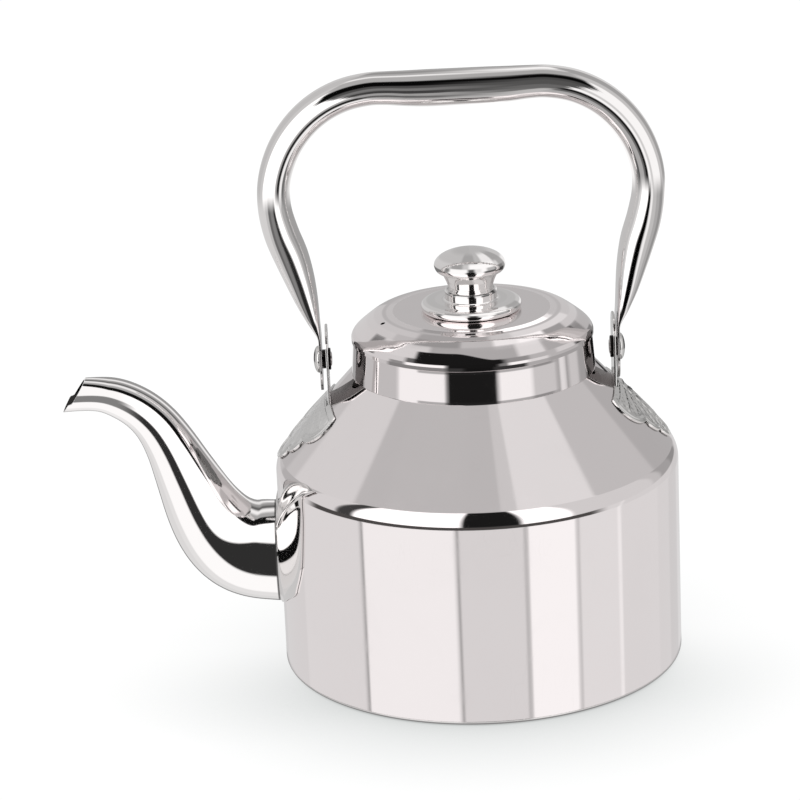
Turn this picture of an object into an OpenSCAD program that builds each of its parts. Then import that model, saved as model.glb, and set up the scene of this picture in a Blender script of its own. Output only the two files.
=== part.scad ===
// Gooseneck kettle of polished sheet steel.
// Millimetres, +Z up. The origin is the centre of the base on the table.
// The spout points along -X (front), the near side is -Y. The bail handle stands in
// the XZ plane and swings about an axis parallel to X through both pivot rivets.

/* [Body] */
// Outer diameter of the straight body wall
body_d = 170; // [168:1:172]
// Thickness of the drawn sheet
sheet = 0.8; // [0.7:0.05:0.9]
// Height at which the straight wall turns into the shoulder
wall_h = 84.8; // [84:0.1:85.5]
// Radius of the rounded shoulder
shoulder_r = 10.2; // [9:0.1:11]
// Height at the foot of the neck
cone_top_z = 126.3; // [126:0.1:126.6]
// Slope of the cone above the horizontal, degrees
cone_slope = 47.6; // [47:0.1:48]
// Radius of the corner between wall and bottom
base_corner_r = 1.5; // [1.2:0.1:1.8]

/* [Neck and lid] */
// Outer radius of the neck at its top
neck_top_r = 50.0; // [49.8:0.1:50.2]
// Outer radius of the neck at its foot
neck_foot_r = 51.0; // [50.8:0.1:51.2]
// Height of the neck's top edge
neck_top_z = 140.4; // [140:0.1:140.6]
// Outer radius of the lid rim
lid_r = 50.6; // [50.4:0.1:50.8]
// Height of the flat top of the lid
lid_top_z = 151.9; // [151.6:0.1:152.2]
// Outer radius of the plug ring under the lid
plug_r = 48.0; // [47.6:0.1:48.2]
// Depth of the plug ring below the rim
plug_depth = 12; // [10:1:13]
// Diameter of the steam vent
vent_d = 2; // [1.5:0.1:2.5]

/* [Knob] */
// Radius of the knob's dished base
saucer_r = 21; // [20:0.5:22]
// Radius of the knob cap
cap_r = 14.9; // [14:0.1:15]
// Height of the top of the knob cap above the table
cap_top_z = 177.8; // [177:0.1:178.4]
// Diameter of the stud that holds the knob
stud_d = 5; // [4.5:0.1:5.2]

/* [Spout] */
// Radius of the tube at its root
root_r = 21.5; // [21.2:0.1:21.8]
// Radius of each strainer hole in the body wall
strain_r = 2.2; // [1.8:0.1:2.4]

/* [Handle] */
// Height of the pivot axis above the table
pivot_z = 132.5; // [132:0.1:133]
// Distance of the middle of each handle strap from the bail's own centre
strap_x = 62.1; // [62:0.05:62.2]
// Thickness of each flattened strap end
strap_t = 1.2; // [1.1:0.05:1.3]
// Width of each flattened strap end
strap_w = 20; // [18:0.5:21]
// Radius of the rivet shank
rivet_r = 2.5; // [2.3:0.1:2.6]
// Radius of the domed rivet head
rivet_head_r = 5.7; // [5.5:0.1:6]

/* [Ears] */
// Thickness of the stamped ear plates
ear_t = 1.0; // [0.9:0.05:1.05]
// Nominal distance of the middle of each upright ear tab from the centre plane
tab_x = 60.2; // [60.15:0.05:60.25]
// Height of the top of each ear tab
tab_top_z = 147.5; // [146:0.5:148]

/* [Hidden] */

part_sides = 96;   // facets of small round parts
body_sides = 180;  // facets of the body, neck and lid
$fn = part_sides;
gap = 0.02;        // keeps stacked pieces apart
body_r = body_d / 2;
shoulder_x = body_r - shoulder_r;  // centre of the shoulder round, at height wall_h
root_z = 48;       // height of the spout's root axis

// ---------- shared helpers ----------
// shifts (r, z) points up by height
function raised(height, points) = [for (p = points) [p[0], p[1] + height]];

// elliptical dome from just above its rim at base_z to the axis, as (r, z) points
function dome(radius, height, base_z, step) =
    [for (angle = [step:step:90]) [radius * cos(angle), base_z + height * sin(angle)]];

// list entry i, extrapolated one step past either end
function entry(list, i) =
    let (last = len(list) - 1)
    i < 0 ? 2 * list[0] - list[1] :
    i > last ? 2 * list[last] - list[last - 1] :
    list[i];

// Catmull-Rom interpolation between b and c
function catmull_rom(a, b, c, d, t) =
    0.5 * (2 * b + (c - a) * t + (2 * a - 5 * b + 4 * c - d) * t * t
           + (3 * b - a - 3 * c + d) * t * t * t);

// smooth line through the stations, with the given number of steps per span
function spline(list, steps) = [
    for (i = [0:len(list) - 2], k = [0:steps - 1])
        catmull_rom(entry(list, i - 1), list[i], list[i + 1], entry(list, i + 2), k / steps),
    list[len(list) - 1]];

// unit direction of a line of stations at i, in the XZ plane
function tangent(line, i) =
    let (before = entry(line, i - 1),
         after = entry(line, i + 1),
         step = [after[0] - before[0], after[1] - before[1]])
    step / norm(step);

module pierced_disc(radius, hole_r, height, sides = part_sides, hole_sides = part_sides) {
    difference() {
        cylinder(r = radius, h = height, $fn = sides);
        translate([0, 0, -1]) cylinder(r = hole_r, h = height + 2, $fn = hole_sides);
    }
}

// ---------- body ----------
shoulder_steps = 7;
wall_lap = 0.08;       // height of the base plate's rim above its corner
strain_pitch = 7;
strain_rings = 2;      // rings of holes around the middle one

// the cone is tangent to the shoulder round; its outer surface at radius r
function cone_z_at(r) = wall_h + shoulder_r / cos(cone_slope) - (r - shoulder_x) * tan(cone_slope);

// solid half profile of the body, grown outwards by grow
module body_profile(grow, bottom_z, top_z) {
    round_r = shoulder_r + grow;
    top_r = shoulder_x + (wall_h + round_r / cos(cone_slope) - top_z) / tan(cone_slope);
    polygon(concat(
        [[0, bottom_z], [body_r + grow, bottom_z]],
        [for (k = [0:shoulder_steps]) let (angle = (90 - cone_slope) * k / shoulder_steps)
            [shoulder_x + round_r * cos(angle), wall_h + round_r * sin(angle)]],
        [[top_r, top_z], [0, top_z]]));
}

// holes in the wall behind the spout, on hexagonal rings
module strainer_holes() {
    for (i = [-strain_rings:strain_rings], j = [-strain_rings:strain_rings])
        if (abs(i + j) <= strain_rings)
            translate([-body_r - 5, (i + j / 2) * strain_pitch,
                       root_z + j * strain_pitch * sqrt(3) / 2])
                rotate([0, 90, 0]) cylinder(r = strain_r, h = 12);
}

module body_shell() {
    color([0.82, 0.82, 0.82])
    difference() {
        rotate_extrude($fn = body_sides) difference() {
            body_profile(0, base_corner_r + wall_lap + gap, cone_top_z);
            body_profile(-sheet, base_corner_r, cone_top_z + 3);
        }
        strainer_holes();
    }
}

// flat bottom disc with a small rounded corner and a thin rim under the wall
module base_plate() {
    corner = base_corner_r;
    color([0.74, 0.74, 0.74])
    rotate_extrude($fn = body_sides) difference() {
        union() {
            square([body_r - corner, corner + wall_lap]);
            translate([body_r - corner, corner]) intersection() {
                circle(r = corner);
                translate([0, -corner]) square([corner, corner]);
            }
            translate([0, corner]) square([body_r, wall_lap]);
        }
        translate([-1, sheet]) square([body_r - sheet + 1, 5]);
    }
}

// neck ring with an inward lip at the top
module neck_collar() {
    foot_z = cone_top_z + gap;
    color([0.82, 0.82, 0.82])
    rotate_extrude($fn = body_sides)
        polygon([[neck_foot_r, foot_z],
                 [neck_top_r, neck_top_z - 0.5], [neck_top_r - 0.25, neck_top_z - 0.1],
                 [neck_top_r - 0.6, neck_top_z], [neck_top_r - 1.3, neck_top_z],
                 [neck_top_r - 1.5, neck_top_z - 0.3], [neck_top_r - 1.5, neck_top_z - 0.9],
                 [neck_top_r - sheet, neck_top_z - 1.1],
                 [neck_foot_r - sheet, foot_z]]);
}

// ---------- spout ----------
// centre line from mouth to root: x, z, radius
spout_stations = [
    [-176.0, 121.2, 6.9], [-167.0, 121.6, 6.9], [-158.0, 121.5, 7.2], [-150.5, 119.8, 8.2],
    [-141.4, 114.7, 8.9], [-134.0, 106.9, 9.8], [-128.7, 97.2, 11.1], [-124.9, 88.1, 12.6],
    [-121.1, 78.8, 14.3], [-116.7, 68.6, 16.3], [-111.0, 59.2, 18.4], [-104.0, 52.6, 20.2],
    [-96.0, 49.2, 21.1], [-86.2, root_z, root_r]];
spout_line = spline(spout_stations, 3);
arc_steps = 14;        // facets around each half tube
seam_gap = 0.01;       // from the XZ plane to each half

// mouth cutter, open end first cut on a slant with a pouring lip below: x, z
mouth_outline = [
    [-162.2, 129.5], [-166.6, 122.6], [-168.6, 119.6], [-170.3, 119.0], [-173.9, 113.0],
    [-174, 108], [-190, 108], [-190, 140], [-158, 140]];

// saddle skirt seen along X, top to bottom: distance from the XZ plane, z
skirt_side = [
    [0, 70.5], [12, 72.5], [21, 79], [27, 85.2], [34, 90.4], [41, 92.3], [48.6, 91.4],
    [45.2, 89.9], [43.6, 86.8], [43.2, 77], [42, 65], [40.6, 55.5], [38.2, 48.9],
    [35.8, 44.2], [33.6, 40.2], [24, 34.6], [12, 28.8], [0, 26.4]];
skirt_gap = 0.05;
skirt_t = 0.9;

// the root section is held square to X
function spout_tangent(i) = i == len(spout_line) - 1 ? [1, 0] : tangent(spout_line, i);

// point k of the half ring at station i, from the underside (k = 0) over +Y
function spout_point(i, inset, k) =
    let (station = spout_line[i],
         along = spout_tangent(i),
         radius = station[2] - inset,
         angle = -90 + 180 * k / arc_steps,
         rise = radius * sin(angle))
    [station[0] - along[1] * rise, seam_gap + radius * cos(angle), station[1] + along[0] * rise];

// half shell of the tube on the +Y side, each section running out and back
module half_tube() {
    last = len(spout_line) - 1;
    count = 2 * (arc_steps + 1);
    end = last * count;
    points = [for (i = [0:last]) each concat(
        [for (k = [0:arc_steps]) spout_point(i, 0, k)],
        [for (k = [arc_steps:-1:0]) spout_point(i, sheet, k)])];
    sides = [for (i = [0:last - 1], k = [0:count - 1])
        let (a = i * count + k, b = i * count + (k + 1) % count)
        each [[a, b, b + count], [a, b + count, a + count]]];
    mouth_cap = [for (k = [0:arc_steps - 1]) let (inner = count - 1 - k)
        each [[inner, k + 1, k], [inner, inner - 1, k + 1]]];
    root_cap = [for (k = [0:arc_steps - 1]) let (outer = end + k, inner = end + count - 1 - k)
        each [[outer, outer + 1, inner], [outer + 1, inner - 1, inner]]];
    polyhedron(points, concat(sides, mouth_cap, root_cap), convexity = 6);
}

module spout_half_far() {
    color([0.85, 0.85, 0.85])
    difference() {
        half_tube();
        rotate([90, 0, 0]) linear_extrude(height = 40, center = true) polygon(mouth_outline);
    }
}
module spout_half_near() { mirror([0, 1, 0]) spout_half_far(); }

module spout_flange() {
    bore_r = root_r - sheet;
    color([0.84, 0.84, 0.84])
    difference() {
        union() {
            // skirt that follows the body
            intersection() {
                rotate_extrude($fn = body_sides) difference() {
                    body_profile(skirt_gap + skirt_t, 10, 115);
                    body_profile(skirt_gap, 5, 118);
                }
                translate([-100, 0, 0]) rotate([90, 0, 90]) linear_extrude(height = 60)
                    polygon(concat([for (p = skirt_side) [-p[0], p[1]]],
                                   [for (i = [len(skirt_side) - 2:-1:1]) skirt_side[i]]));
            }
            // flared ring between the skirt and the tube
            difference() {
                translate([-86.15, 0, root_z]) rotate([0, 90, 0]) rotate_extrude()
                    polygon([[bore_r, 0], [root_r, 0], [root_r + 0.5, 1.6],
                             [root_r + 1.6, 3.2], [root_r + 3.0, 4.4],
                             [root_r + 3.0, 8], [bore_r, 8]]);
                rotate_extrude($fn = body_sides) body_profile(skirt_gap, 5, 118);
            }
        }
        translate([-95, 0, root_z]) rotate([0, 90, 0]) cylinder(r = bore_r, h = 40);
    }
}

// ---------- placing of ears and bail ----------
// side is 1 for the rear (+X) and -1 for the front (-X);
// the bail and its ears sit a little towards the spout
rear_tab_in = 1.3;
front_tab_out = 0.8;
bail_in = 1.55;
bail_lean = 0.85;      // further shift of the upper bail

// distances of tab and strap middles from the centre plane
function tab_at(side) = side > 0 ? tab_x - rear_tab_in : tab_x + front_tab_out;
function strap_at(side) = strap_x - side * bail_in;

// ---------- ears ----------
ear_gap = 0.04;        // between leaf and cone
tab_r = strap_w / 2 - 1;
tab_foot_z = 104;
// pairs of circles in the leaf: distance from its middle line, distance down the slope, radius
leaf_lobes = [[12.0, 6.8, 12.2], [5.8, 19.6, 8.6], [1.2, 27.6, 6.6]];

// outline of the leaf plate, seen square to the cone
module leaf() {
    difference() {
        union() {
            translate([-strap_w / 2 + 3, 0]) square([strap_w - 6, 22]);
            for (s = [-1, 1], lobe = leaf_lobes)
                translate([s * lobe[0], lobe[1]]) circle(r = lobe[2], $fn = 48);
        }
        translate([-40, -30]) square([80, 30]);
    }
}

// plate on the cone, cut to the leaf outline, with a tab standing up from it
module ear(side) {
    inner_x = tab_at(side) - ear_t / 2;
    color([0.8, 0.8, 0.8])
    rotate([0, 0, side < 0 ? 180 : 0]) difference() {
        union() {
            intersection() {
                rotate_extrude($fn = body_sides)
                    body_profile(ear_gap + ear_t, 60, cone_top_z - 4);
                // prism along the cone normal, starting at the bend line
                translate([inner_x, 0, cone_z_at(inner_x) - 2]) rotate([0, cone_slope, 0])
                    rotate([0, 0, 90]) mirror([0, 1, 0]) translate([0, 0, -12])
                        linear_extrude(height = 30) leaf();
            }
            translate([inner_x, 0, 0]) rotate([90, 0, 90])
                linear_extrude(height = ear_t) union() {
                    translate([-tab_r, tab_foot_z])
                        square([2 * tab_r, tab_top_z - tab_foot_z - tab_r]);
                    translate([0, tab_top_z - tab_r]) circle(r = tab_r);
                }
        }
        rotate_extrude($fn = body_sides) body_profile(ear_gap, 40, cone_top_z + 4);
        translate([50, 0, pivot_z]) rotate([0, 90, 0]) cylinder(r = rivet_r + 0.05, h = 20);
    }
}
module rear_ear() { ear(1); }
module front_ear() { ear(-1); }

// ---------- handle ----------
// from the middle of the grip to one strap: x, z, half thickness, half width,
// superellipse exponent (2 is round, higher is squarer)
bail_stations = [
    [0, 246.6, 7.6, 7.6, 2], [12, 246.6, 7.6, 7.6, 2], [21, 246.8, 7.3, 7.4, 2],
    [29, 247.2, 6.9, 7.1, 2], [37, 247.1, 6.8, 7.0, 2], [47.5, 244.9, 6.8, 7.0, 2],
    [57.5, 239.9, 6.8, 7.0, 2], [66.0, 232.4, 6.8, 7.0, 2], [72.6, 222.6, 6.8, 7.0, 2],
    [76.6, 211.0, 6.8, 7.0, 2], [77.3, 199.6, 6.9, 7.1, 2.1], [75.2, 188.2, 7.3, 7.4, 2.3],
    [71.9, 178.2, 7.2, 7.8, 2.6], [69.1, 168.4, 6.2, 8.4, 2.9], [66.8, 159.4, 4.7, 9.0, 3.4],
    [64.6, 151.6, 2.8, 9.5, 4.2], [62.5, 145.0, 0.8, 9.8, 6],
    [strap_x, 141.0, strap_t / 2, 9.9, 8]];
bail_half = spline(bail_stations, 2);
bail_line = concat(
    [for (i = [len(bail_half) - 1:-1:1]) let (p = bail_half[i]) [-p[0], p[1], p[2], p[3], p[4]]],
    bail_half);
bail_sides = 20;       // points around each section
solid_ends = 6;        // stations at each end left solid
strap_h = 12.5;
strap_foot_z = pivot_z - 3.1;  // where the strap's rounded end begins

// shift along X at height z, easing into the lean above the straps
function bail_shift(z) =
    let (t = min(1, max(0, (z - 150) / 50)))
    -bail_in - bail_lean * t * t * (3 - 2 * t);

function signed_pow(value, exponent) = sign(value) * pow(abs(value), exponent);

// superellipse section across the path at station i, shrunk by inset
function bail_ring(i, inset) =
    let (p = bail_line[i],
         along = tangent(bail_line, i),
         half_t = max(0.15, p[2] - inset),
         half_w = p[3] - inset,
         exponent = 2 / p[4])
    [for (k = [0:bail_sides - 1])
        let (angle = 360 * k / bail_sides,
             across = signed_pow(cos(angle), exponent) * half_t)
        [p[0] - along[1] * across + bail_shift(p[1]),
         signed_pow(sin(angle), exponent) * half_w,
         p[1] + along[0] * across]];

module bail_solid(inset, first, last) {
    spans = last - first;
    count = bail_sides;
    polyhedron([for (i = [first:last]) each bail_ring(i, inset)], concat(
        [for (i = [0:spans - 1], k = [0:count - 1]) let (next = (k + 1) % count)
            [i * count + k, i * count + next, (i + 1) * count + next, (i + 1) * count + k]],
        [[for (k = [count - 1:-1:0]) k]],
        [[for (k = [0:count - 1]) spans * count + k]]), convexity = 8);
}

module strap(side) {
    translate([side * strap_at(side) - strap_t / 2, 0, 0]) rotate([90, 0, 90])
        linear_extrude(height = strap_t) union() {
            translate([-strap_w / 2, strap_foot_z]) square([strap_w, strap_h]);
            translate([0, strap_foot_z]) circle(r = strap_w / 2);
        }
}

// hollow bail with a flat pierced strap at each end
module handle_bail() {
    last = len(bail_line) - 1;
    color([0.8, 0.8, 0.8])
    difference() {
        union() {
            difference() {
                bail_solid(0, 0, last);
                bail_solid(sheet, solid_ends, last - solid_ends);
            }
            strap(1);
            strap(-1);
        }
        for (side = [-1, 1])
            translate([side * strap_at(side) - 5, 0, pivot_z]) rotate([0, 90, 0])
                cylinder(r = rivet_r + 0.06, h = 10);
    }
}

// ---------- pivots ----------
// distances along X, measured outwards from the centre plane
function head_in(side) = strap_at(side) + strap_t / 2 + 0.06;
function spacer_in(side) = tab_at(side) + ear_t / 2 + 0.03;
function spacer_out(side) = strap_at(side) - strap_t / 2 - 0.06;
function backing_out(side) = tab_at(side) - ear_t / 2 - 0.02;
function backing_in(side) = backing_out(side) - 0.9;

head_edge = 0.4;       // straight edge under the rivet's dome
head_dome_h = 2.1;

module to_side(side) {
    if (side > 0) children();
    else mirror([1, 0, 0]) children();
}

// domed head outside, shank, and a low peened button inside
module rivet(side) {
    button = backing_in(side);
    head = head_in(side);
    color([0.86, 0.86, 0.86])
    to_side(side) translate([0, 0, pivot_z]) rotate([0, 90, 0]) rotate_extrude()
        polygon(concat(
            [[0, button - 0.6], [2.2, button - 0.55], [2.9, button - 0.35],
             [3.1, button - 0.02], [rivet_r, button - 0.02], [rivet_r, head],
             [rivet_head_r, head], [rivet_head_r, head + head_edge]],
            dome(rivet_head_r, head_dome_h, head + head_edge, 15)));
}

module pivot_washer(side, inner_x, outer_x, radius, hole_r) {
    color([0.5, 0.5, 0.5])
    to_side(side) translate([inner_x, 0, pivot_z]) rotate([0, 90, 0])
        pierced_disc(radius, hole_r, outer_x - inner_x);
}
// between ear tab and strap
module spacer_washer(side) {
    pivot_washer(side, spacer_in(side), spacer_out(side), 4.0, rivet_r + 0.06);
}
// on the inner face of the ear tab
module backing_washer(side) {
    pivot_washer(side, backing_in(side), backing_out(side), 4.6, rivet_r + 0.05);
}

module rear_pivot_rivet() { rivet(1); }
module front_pivot_rivet() { rivet(-1); }
module rear_spacer_washer() { spacer_washer(1); }
module front_spacer_washer() { spacer_washer(-1); }
module rear_backing_washer() { backing_washer(1); }
module front_backing_washer() { backing_washer(-1); }

// ---------- lid ----------
lid_rim_z = neck_top_z + 0.04;
vent_x = 39.3;         // distance of the vent from the axis
vent_angle = 19.2;     // from -X towards -Y

// outer surface from rim to centre: r, z
lid_outer = [
    [lid_r, lid_rim_z], [lid_r, 141.9], [lid_r - 0.35, 142.75], [lid_r - 1.3, 143.95],
    [lid_r - 3.1, 145.55], [45.0, 147.55], [42.6, 149.3], [40.4, 150.5], [37.6, 151.25],
    [34.6, 151.55], [33.8, 151.75], [33.2, lid_top_z], [8, lid_top_z]];
// inner surface, about one sheet thickness inside: r, z
lid_inner = [
    [lid_r - sheet, lid_rim_z], [lid_r - sheet, 141.6], [lid_r - 1.1, 142.2],
    [lid_r - 2.0, 143.35], [lid_r - 3.65, 144.95], [44.5, 146.9], [42.1, 148.65],
    [40.0, 149.75], [37.4, 150.45], [34.5, 150.75], [33.5, 150.95],
    [32.9, lid_top_z - sheet], [8, lid_top_z - sheet]];
// room for the plug ring, just inside the lid's inner surface: r, z
plug_room = [
    [0, 100], [lid_r - 0.86, 100], [lid_r - 0.86, 141.55], [lid_r - 1.16, 142.15],
    [lid_r - 2.06, 143.25], [lid_r - 3.7, 144.85], [44.45, 146.8], [0, 146.8]];

module lid_shell() {
    color([0.84, 0.84, 0.84])
    difference() {
        rotate_extrude($fn = body_sides) difference() {
            polygon(concat(lid_outer, [[0, lid_top_z], [0, lid_rim_z]]));
            polygon(concat([[lid_r - sheet, neck_top_z - 1]], lid_inner,
                           [[0, lid_top_z - sheet], [0, neck_top_z - 1]]));
        }
        cylinder(r = stud_d / 2 + 0.05, h = 200);
        // steam vent, on the spout side
        rotate([0, 0, 180 + vent_angle]) translate([vent_x, 0, 140])
            cylinder(d = vent_d, h = 20);
    }
}

// ring under the lid that drops into the neck, with a small inward lip at its foot
module lid_plug_ring() {
    foot_z = neck_top_z - plug_depth;
    color([0.76, 0.76, 0.76])
    rotate_extrude($fn = body_sides) intersection() {
        union() {
            translate([plug_r - sheet, foot_z]) square([sheet, plug_depth + 6]);
            polygon([[plug_r - sheet, foot_z], [plug_r - sheet - 1, foot_z - 0.6],
                     [plug_r - 1.2, foot_z - 1.2], [plug_r, foot_z]]);
        }
        polygon(plug_room);
    }
}

// ---------- knob ----------
// base, stem and cap are stacked; profiles are r, height above each part's foot
collar_h = 8.9;
stem_h = 7.3;
cap_edge_h = 2.9;      // from the cap's foot to its widest point
cap_wall = 0.9;
knob_base_z = lid_top_z + gap;
stem_z = knob_base_z + collar_h + gap;
cap_z = stem_z + stem_h + gap;
cap_dome_h = cap_top_z - cap_z - cap_edge_h;

// domed disc with a tall collar
module knob_base() {
    color([0.84, 0.84, 0.84])
    rotate_extrude() difference() {
        polygon(raised(knob_base_z, [
            [0, 0], [saucer_r - 1.3, 0], [saucer_r - 0.5, 0.5], [saucer_r - 0.1, 1.2],
            [saucer_r, 2.0], [saucer_r - 0.2, 2.8], [saucer_r - 0.85, 3.5],
            [saucer_r - 2.05, 4.05], [saucer_r - 3.8, 4.35], [15.2, 4.45], [13, 4.4],
            [11.8, 4.4], [11.2, 4.6], [10.9, 5.0], [10.9, 8.2], [10.6, 8.7],
            [10.2, collar_h], [0, collar_h]]));
        polygon(raised(knob_base_z, [
            [0, -1], [saucer_r - 2.2, -1], [saucer_r - 2.2, 0.3], [saucer_r - 1.2, 1.4],
            [saucer_r - 1.4, 2.6], [saucer_r - 2.5, 3.1], [13, 3.5], [11, 3.5], [9.9, 4.2],
            [9.9, 8.0], [6, 8.0], [6, 7.0], [4, 7.0], [4, 12], [0, 12]]));
    }
}

// hollow stem, widening upwards
module knob_stem() {
    color([0.85, 0.85, 0.85])
    rotate_extrude() difference() {
        polygon(raised(stem_z, [
            [0, 0], [9.1, 0], [9.15, 0.5], [9.35, 1.2], [9.8, 2.6], [10.5, 4.4],
            [11.4, 6.2], [12.1, stem_h], [0, stem_h]]));
        polygon(raised(stem_z, [
            [2.6, -1], [2.6, 1], [8.2, 1], [8.45, 1.6], [9.0, 3.0], [9.7, 4.7],
            [10.6, 6.5], [11.4, 8], [0, 8], [0, -1]]));
    }
}

// hollow dome, open below
module knob_cap() {
    color([0.86, 0.86, 0.86])
    rotate_extrude() difference() {
        polygon(raised(cap_z, concat(
            [[0, 0], [12.7, 0], [13.8, 0.6], [14.6, 1.7], [cap_r, cap_edge_h]],
            dome(cap_r, cap_dome_h, cap_edge_h, 10))));
        polygon(raised(cap_z, concat(
            [[0, -1], [11.2, -1], [11.2, 0.8], [13.0, 1.7], [cap_r - cap_wall, cap_edge_h]],
            dome(cap_r - cap_wall, cap_dome_h - cap_wall, cap_edge_h, 10))));
    }
}

// ---------- knob fixing ----------
stud_plate_z = 18.0;   // above the lid top
lid_washer_t = 1.0;
lid_nut_h = 4;
lid_washer_z = lid_top_z - sheet - gap - lid_washer_t;
lid_nut_z = lid_washer_z - gap - lid_nut_h;

// stud from a plate inside the cap, through the stem, base and lid
module knob_stud() {
    stud_r = stud_d / 2;
    color([0.6, 0.6, 0.6])
    rotate_extrude($fn = 48)
        polygon(raised(lid_top_z, [
            [0, -7.5], [stud_r - 0.5, -7.5], [stud_r, -7.0], [stud_r, stud_plate_z],
            [10.6, stud_plate_z], [10.6, stud_plate_z + 1.2], [0, stud_plate_z + 1.2]]));
}
module lid_washer() {
    color([0.6, 0.6, 0.6])
    translate([0, 0, lid_washer_z])
        pierced_disc(6.5, stud_d / 2 + 0.1, lid_washer_t, sides = 64, hole_sides = 64);
}
module lid_nut() {
    color([0.6, 0.6, 0.6])
    translate([0, 0, lid_nut_z])
        pierced_disc(4.6, stud_d / 2 + 0.03, lid_nut_h, sides = 6, hole_sides = 64);
}

body_shell();
base_plate();
neck_collar();
spout_half_near();
spout_half_far();
spout_flange();
front_ear();
rear_ear();
handle_bail();
front_pivot_rivet();
rear_pivot_rivet();
front_spacer_washer();
rear_spacer_washer();
front_backing_washer();
rear_backing_washer();
lid_shell();
lid_plug_ring();
knob_base();
knob_stem();
knob_cap();
knob_stud();
lid_washer();
lid_nut();
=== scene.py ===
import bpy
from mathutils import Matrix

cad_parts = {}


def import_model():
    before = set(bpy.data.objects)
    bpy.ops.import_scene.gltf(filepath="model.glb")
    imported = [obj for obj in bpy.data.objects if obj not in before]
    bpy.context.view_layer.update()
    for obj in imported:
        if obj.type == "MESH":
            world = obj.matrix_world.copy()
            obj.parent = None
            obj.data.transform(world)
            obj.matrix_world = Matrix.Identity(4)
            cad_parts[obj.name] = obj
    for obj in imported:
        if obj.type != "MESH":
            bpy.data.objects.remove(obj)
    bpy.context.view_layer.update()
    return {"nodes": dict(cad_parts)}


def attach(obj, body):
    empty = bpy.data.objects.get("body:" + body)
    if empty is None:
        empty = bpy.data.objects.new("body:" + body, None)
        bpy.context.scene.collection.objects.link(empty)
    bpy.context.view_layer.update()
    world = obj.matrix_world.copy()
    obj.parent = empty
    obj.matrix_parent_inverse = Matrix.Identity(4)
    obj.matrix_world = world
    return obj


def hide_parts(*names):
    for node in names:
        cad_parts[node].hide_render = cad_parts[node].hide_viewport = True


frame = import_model()

import math

import bmesh
import bpy
import numpy as np
from mathutils import Matrix, Vector

MM = 0.001
TAU = 2 * math.pi

# ------------------------------------------------------------------ main dimensions, mm
R = 85.0
SH_R, SH_X, SH_Z = 10.2, 74.8, 84.8
BETA = math.radians(47.6)
CB, SB = math.cos(BETA), math.sin(BETA)
CONE_TOP = 126.3
NECK_TOP = 140.4
PIVOT_Z = 132.5
LID_TOP = 151.9


def cone_z(r, off=0.0):
    return SH_Z + (SH_R + off) / CB - (r - SH_X) * SB / CB


def body_r(z, off=0.0):
    """outer radius of the body at height z, grown by off along the normal"""
    z = np.asarray(z, float)
    wall = np.full_like(z, R + off)
    q = SH_R + off
    dz = np.clip(z - SH_Z, 0, q)
    rnd = SH_X + np.sqrt(np.maximum(q * q - dz * dz, 0))
    cone = SH_X + (SH_Z + q / CB - z) * CB / SB
    out = np.where(z <= SH_Z, wall, rnd)
    return np.where(z > SH_Z + q * CB, cone, out)


# spout centre line: x, z, radius
SPOUT = [[-176.0, 121.2, 6.9], [-167.0, 121.6, 6.9], [-158.0, 121.5, 7.2], [-150.5, 119.8, 8.2], [-141.4, 114.7, 8.9],
         [-134.0, 106.9, 9.8], [-128.7, 97.2, 11.1], [-124.9, 88.1, 12.6], [-121.1, 78.8, 14.3],
         [-116.7, 68.6, 16.3], [-111.0, 59.2, 18.4], [-104.0, 52.6, 20.2], [-96.0, 49.2, 21.1], [-86.2, 48.0, 21.5]]
# bail, from the middle of the grip to one strap: x, z, half thickness, half width, squareness
BAIL = [[0, 246.6, 7.6, 7.6, 2], [12, 246.6, 7.6, 7.6, 2], [21, 246.8, 7.3, 7.4, 2], [29, 247.2, 6.9, 7.1, 2], [37, 247.1, 6.8, 7.0, 2],
        [47.5, 244.9, 6.8, 7.0, 2], [57.5, 239.9, 6.8, 7.0, 2], [66.0, 232.4, 6.8, 7.0, 2],
        [72.6, 222.6, 6.8, 7.0, 2], [76.6, 211.0, 6.8, 7.0, 2], [77.3, 199.6, 6.9, 7.1, 2.1],
        [75.2, 188.2, 7.3, 7.4, 2.3], [71.9, 178.2, 7.2, 7.8, 2.6], [69.1, 168.4, 6.2, 8.4, 2.9],
        [66.8, 159.4, 4.7, 9.0, 3.4], [64.6, 151.6, 2.8, 9.5, 4.2], [62.5, 145.0, 0.8, 9.8, 6], [62.1, 141.0, 0.6, 9.9, 8]]


# ------------------------------------------------------------------ small geometry kit
def catmull(pts, n):
    """centripetal Catmull-Rom through the points, n steps per span"""
    P = np.asarray(pts, float)
    P = np.vstack([2 * P[0] - P[1], P, 2 * P[-1] - P[-2]])
    out = []
    for i in range(1, len(P) - 2):
        p0, p1, p2, p3 = P[i - 1], P[i], P[i + 1], P[i + 2]
        t0 = 0.0
        t1 = t0 + max(np.linalg.norm((p1 - p0)[:2]), 1e-9) ** 0.5
        t2 = t1 + max(np.linalg.norm((p2 - p1)[:2]), 1e-9) ** 0.5
        t3 = t2 + max(np.linalg.norm((p3 - p2)[:2]), 1e-9) ** 0.5
        for k in range(n):
            t = t1 + (t2 - t1) * k / n
            a1 = (t1 - t) / (t1 - t0) * p0 + (t - t0) / (t1 - t0) * p1
            a2 = (t2 - t) / (t2 - t1) * p1 + (t - t1) / (t2 - t1) * p2
            a3 = (t3 - t) / (t3 - t2) * p2 + (t - t2) / (t3 - t2) * p3
            b1 = (t2 - t) / (t2 - t0) * a1 + (t - t0) / (t2 - t0) * a2
            b2 = (t3 - t) / (t3 - t1) * a2 + (t - t1) / (t3 - t1) * a3
            out.append((t2 - t) / (t2 - t1) * b1 + (t - t1) / (t2 - t1) * b2)
    out.append(P[-2])
    return np.array(out)


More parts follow.
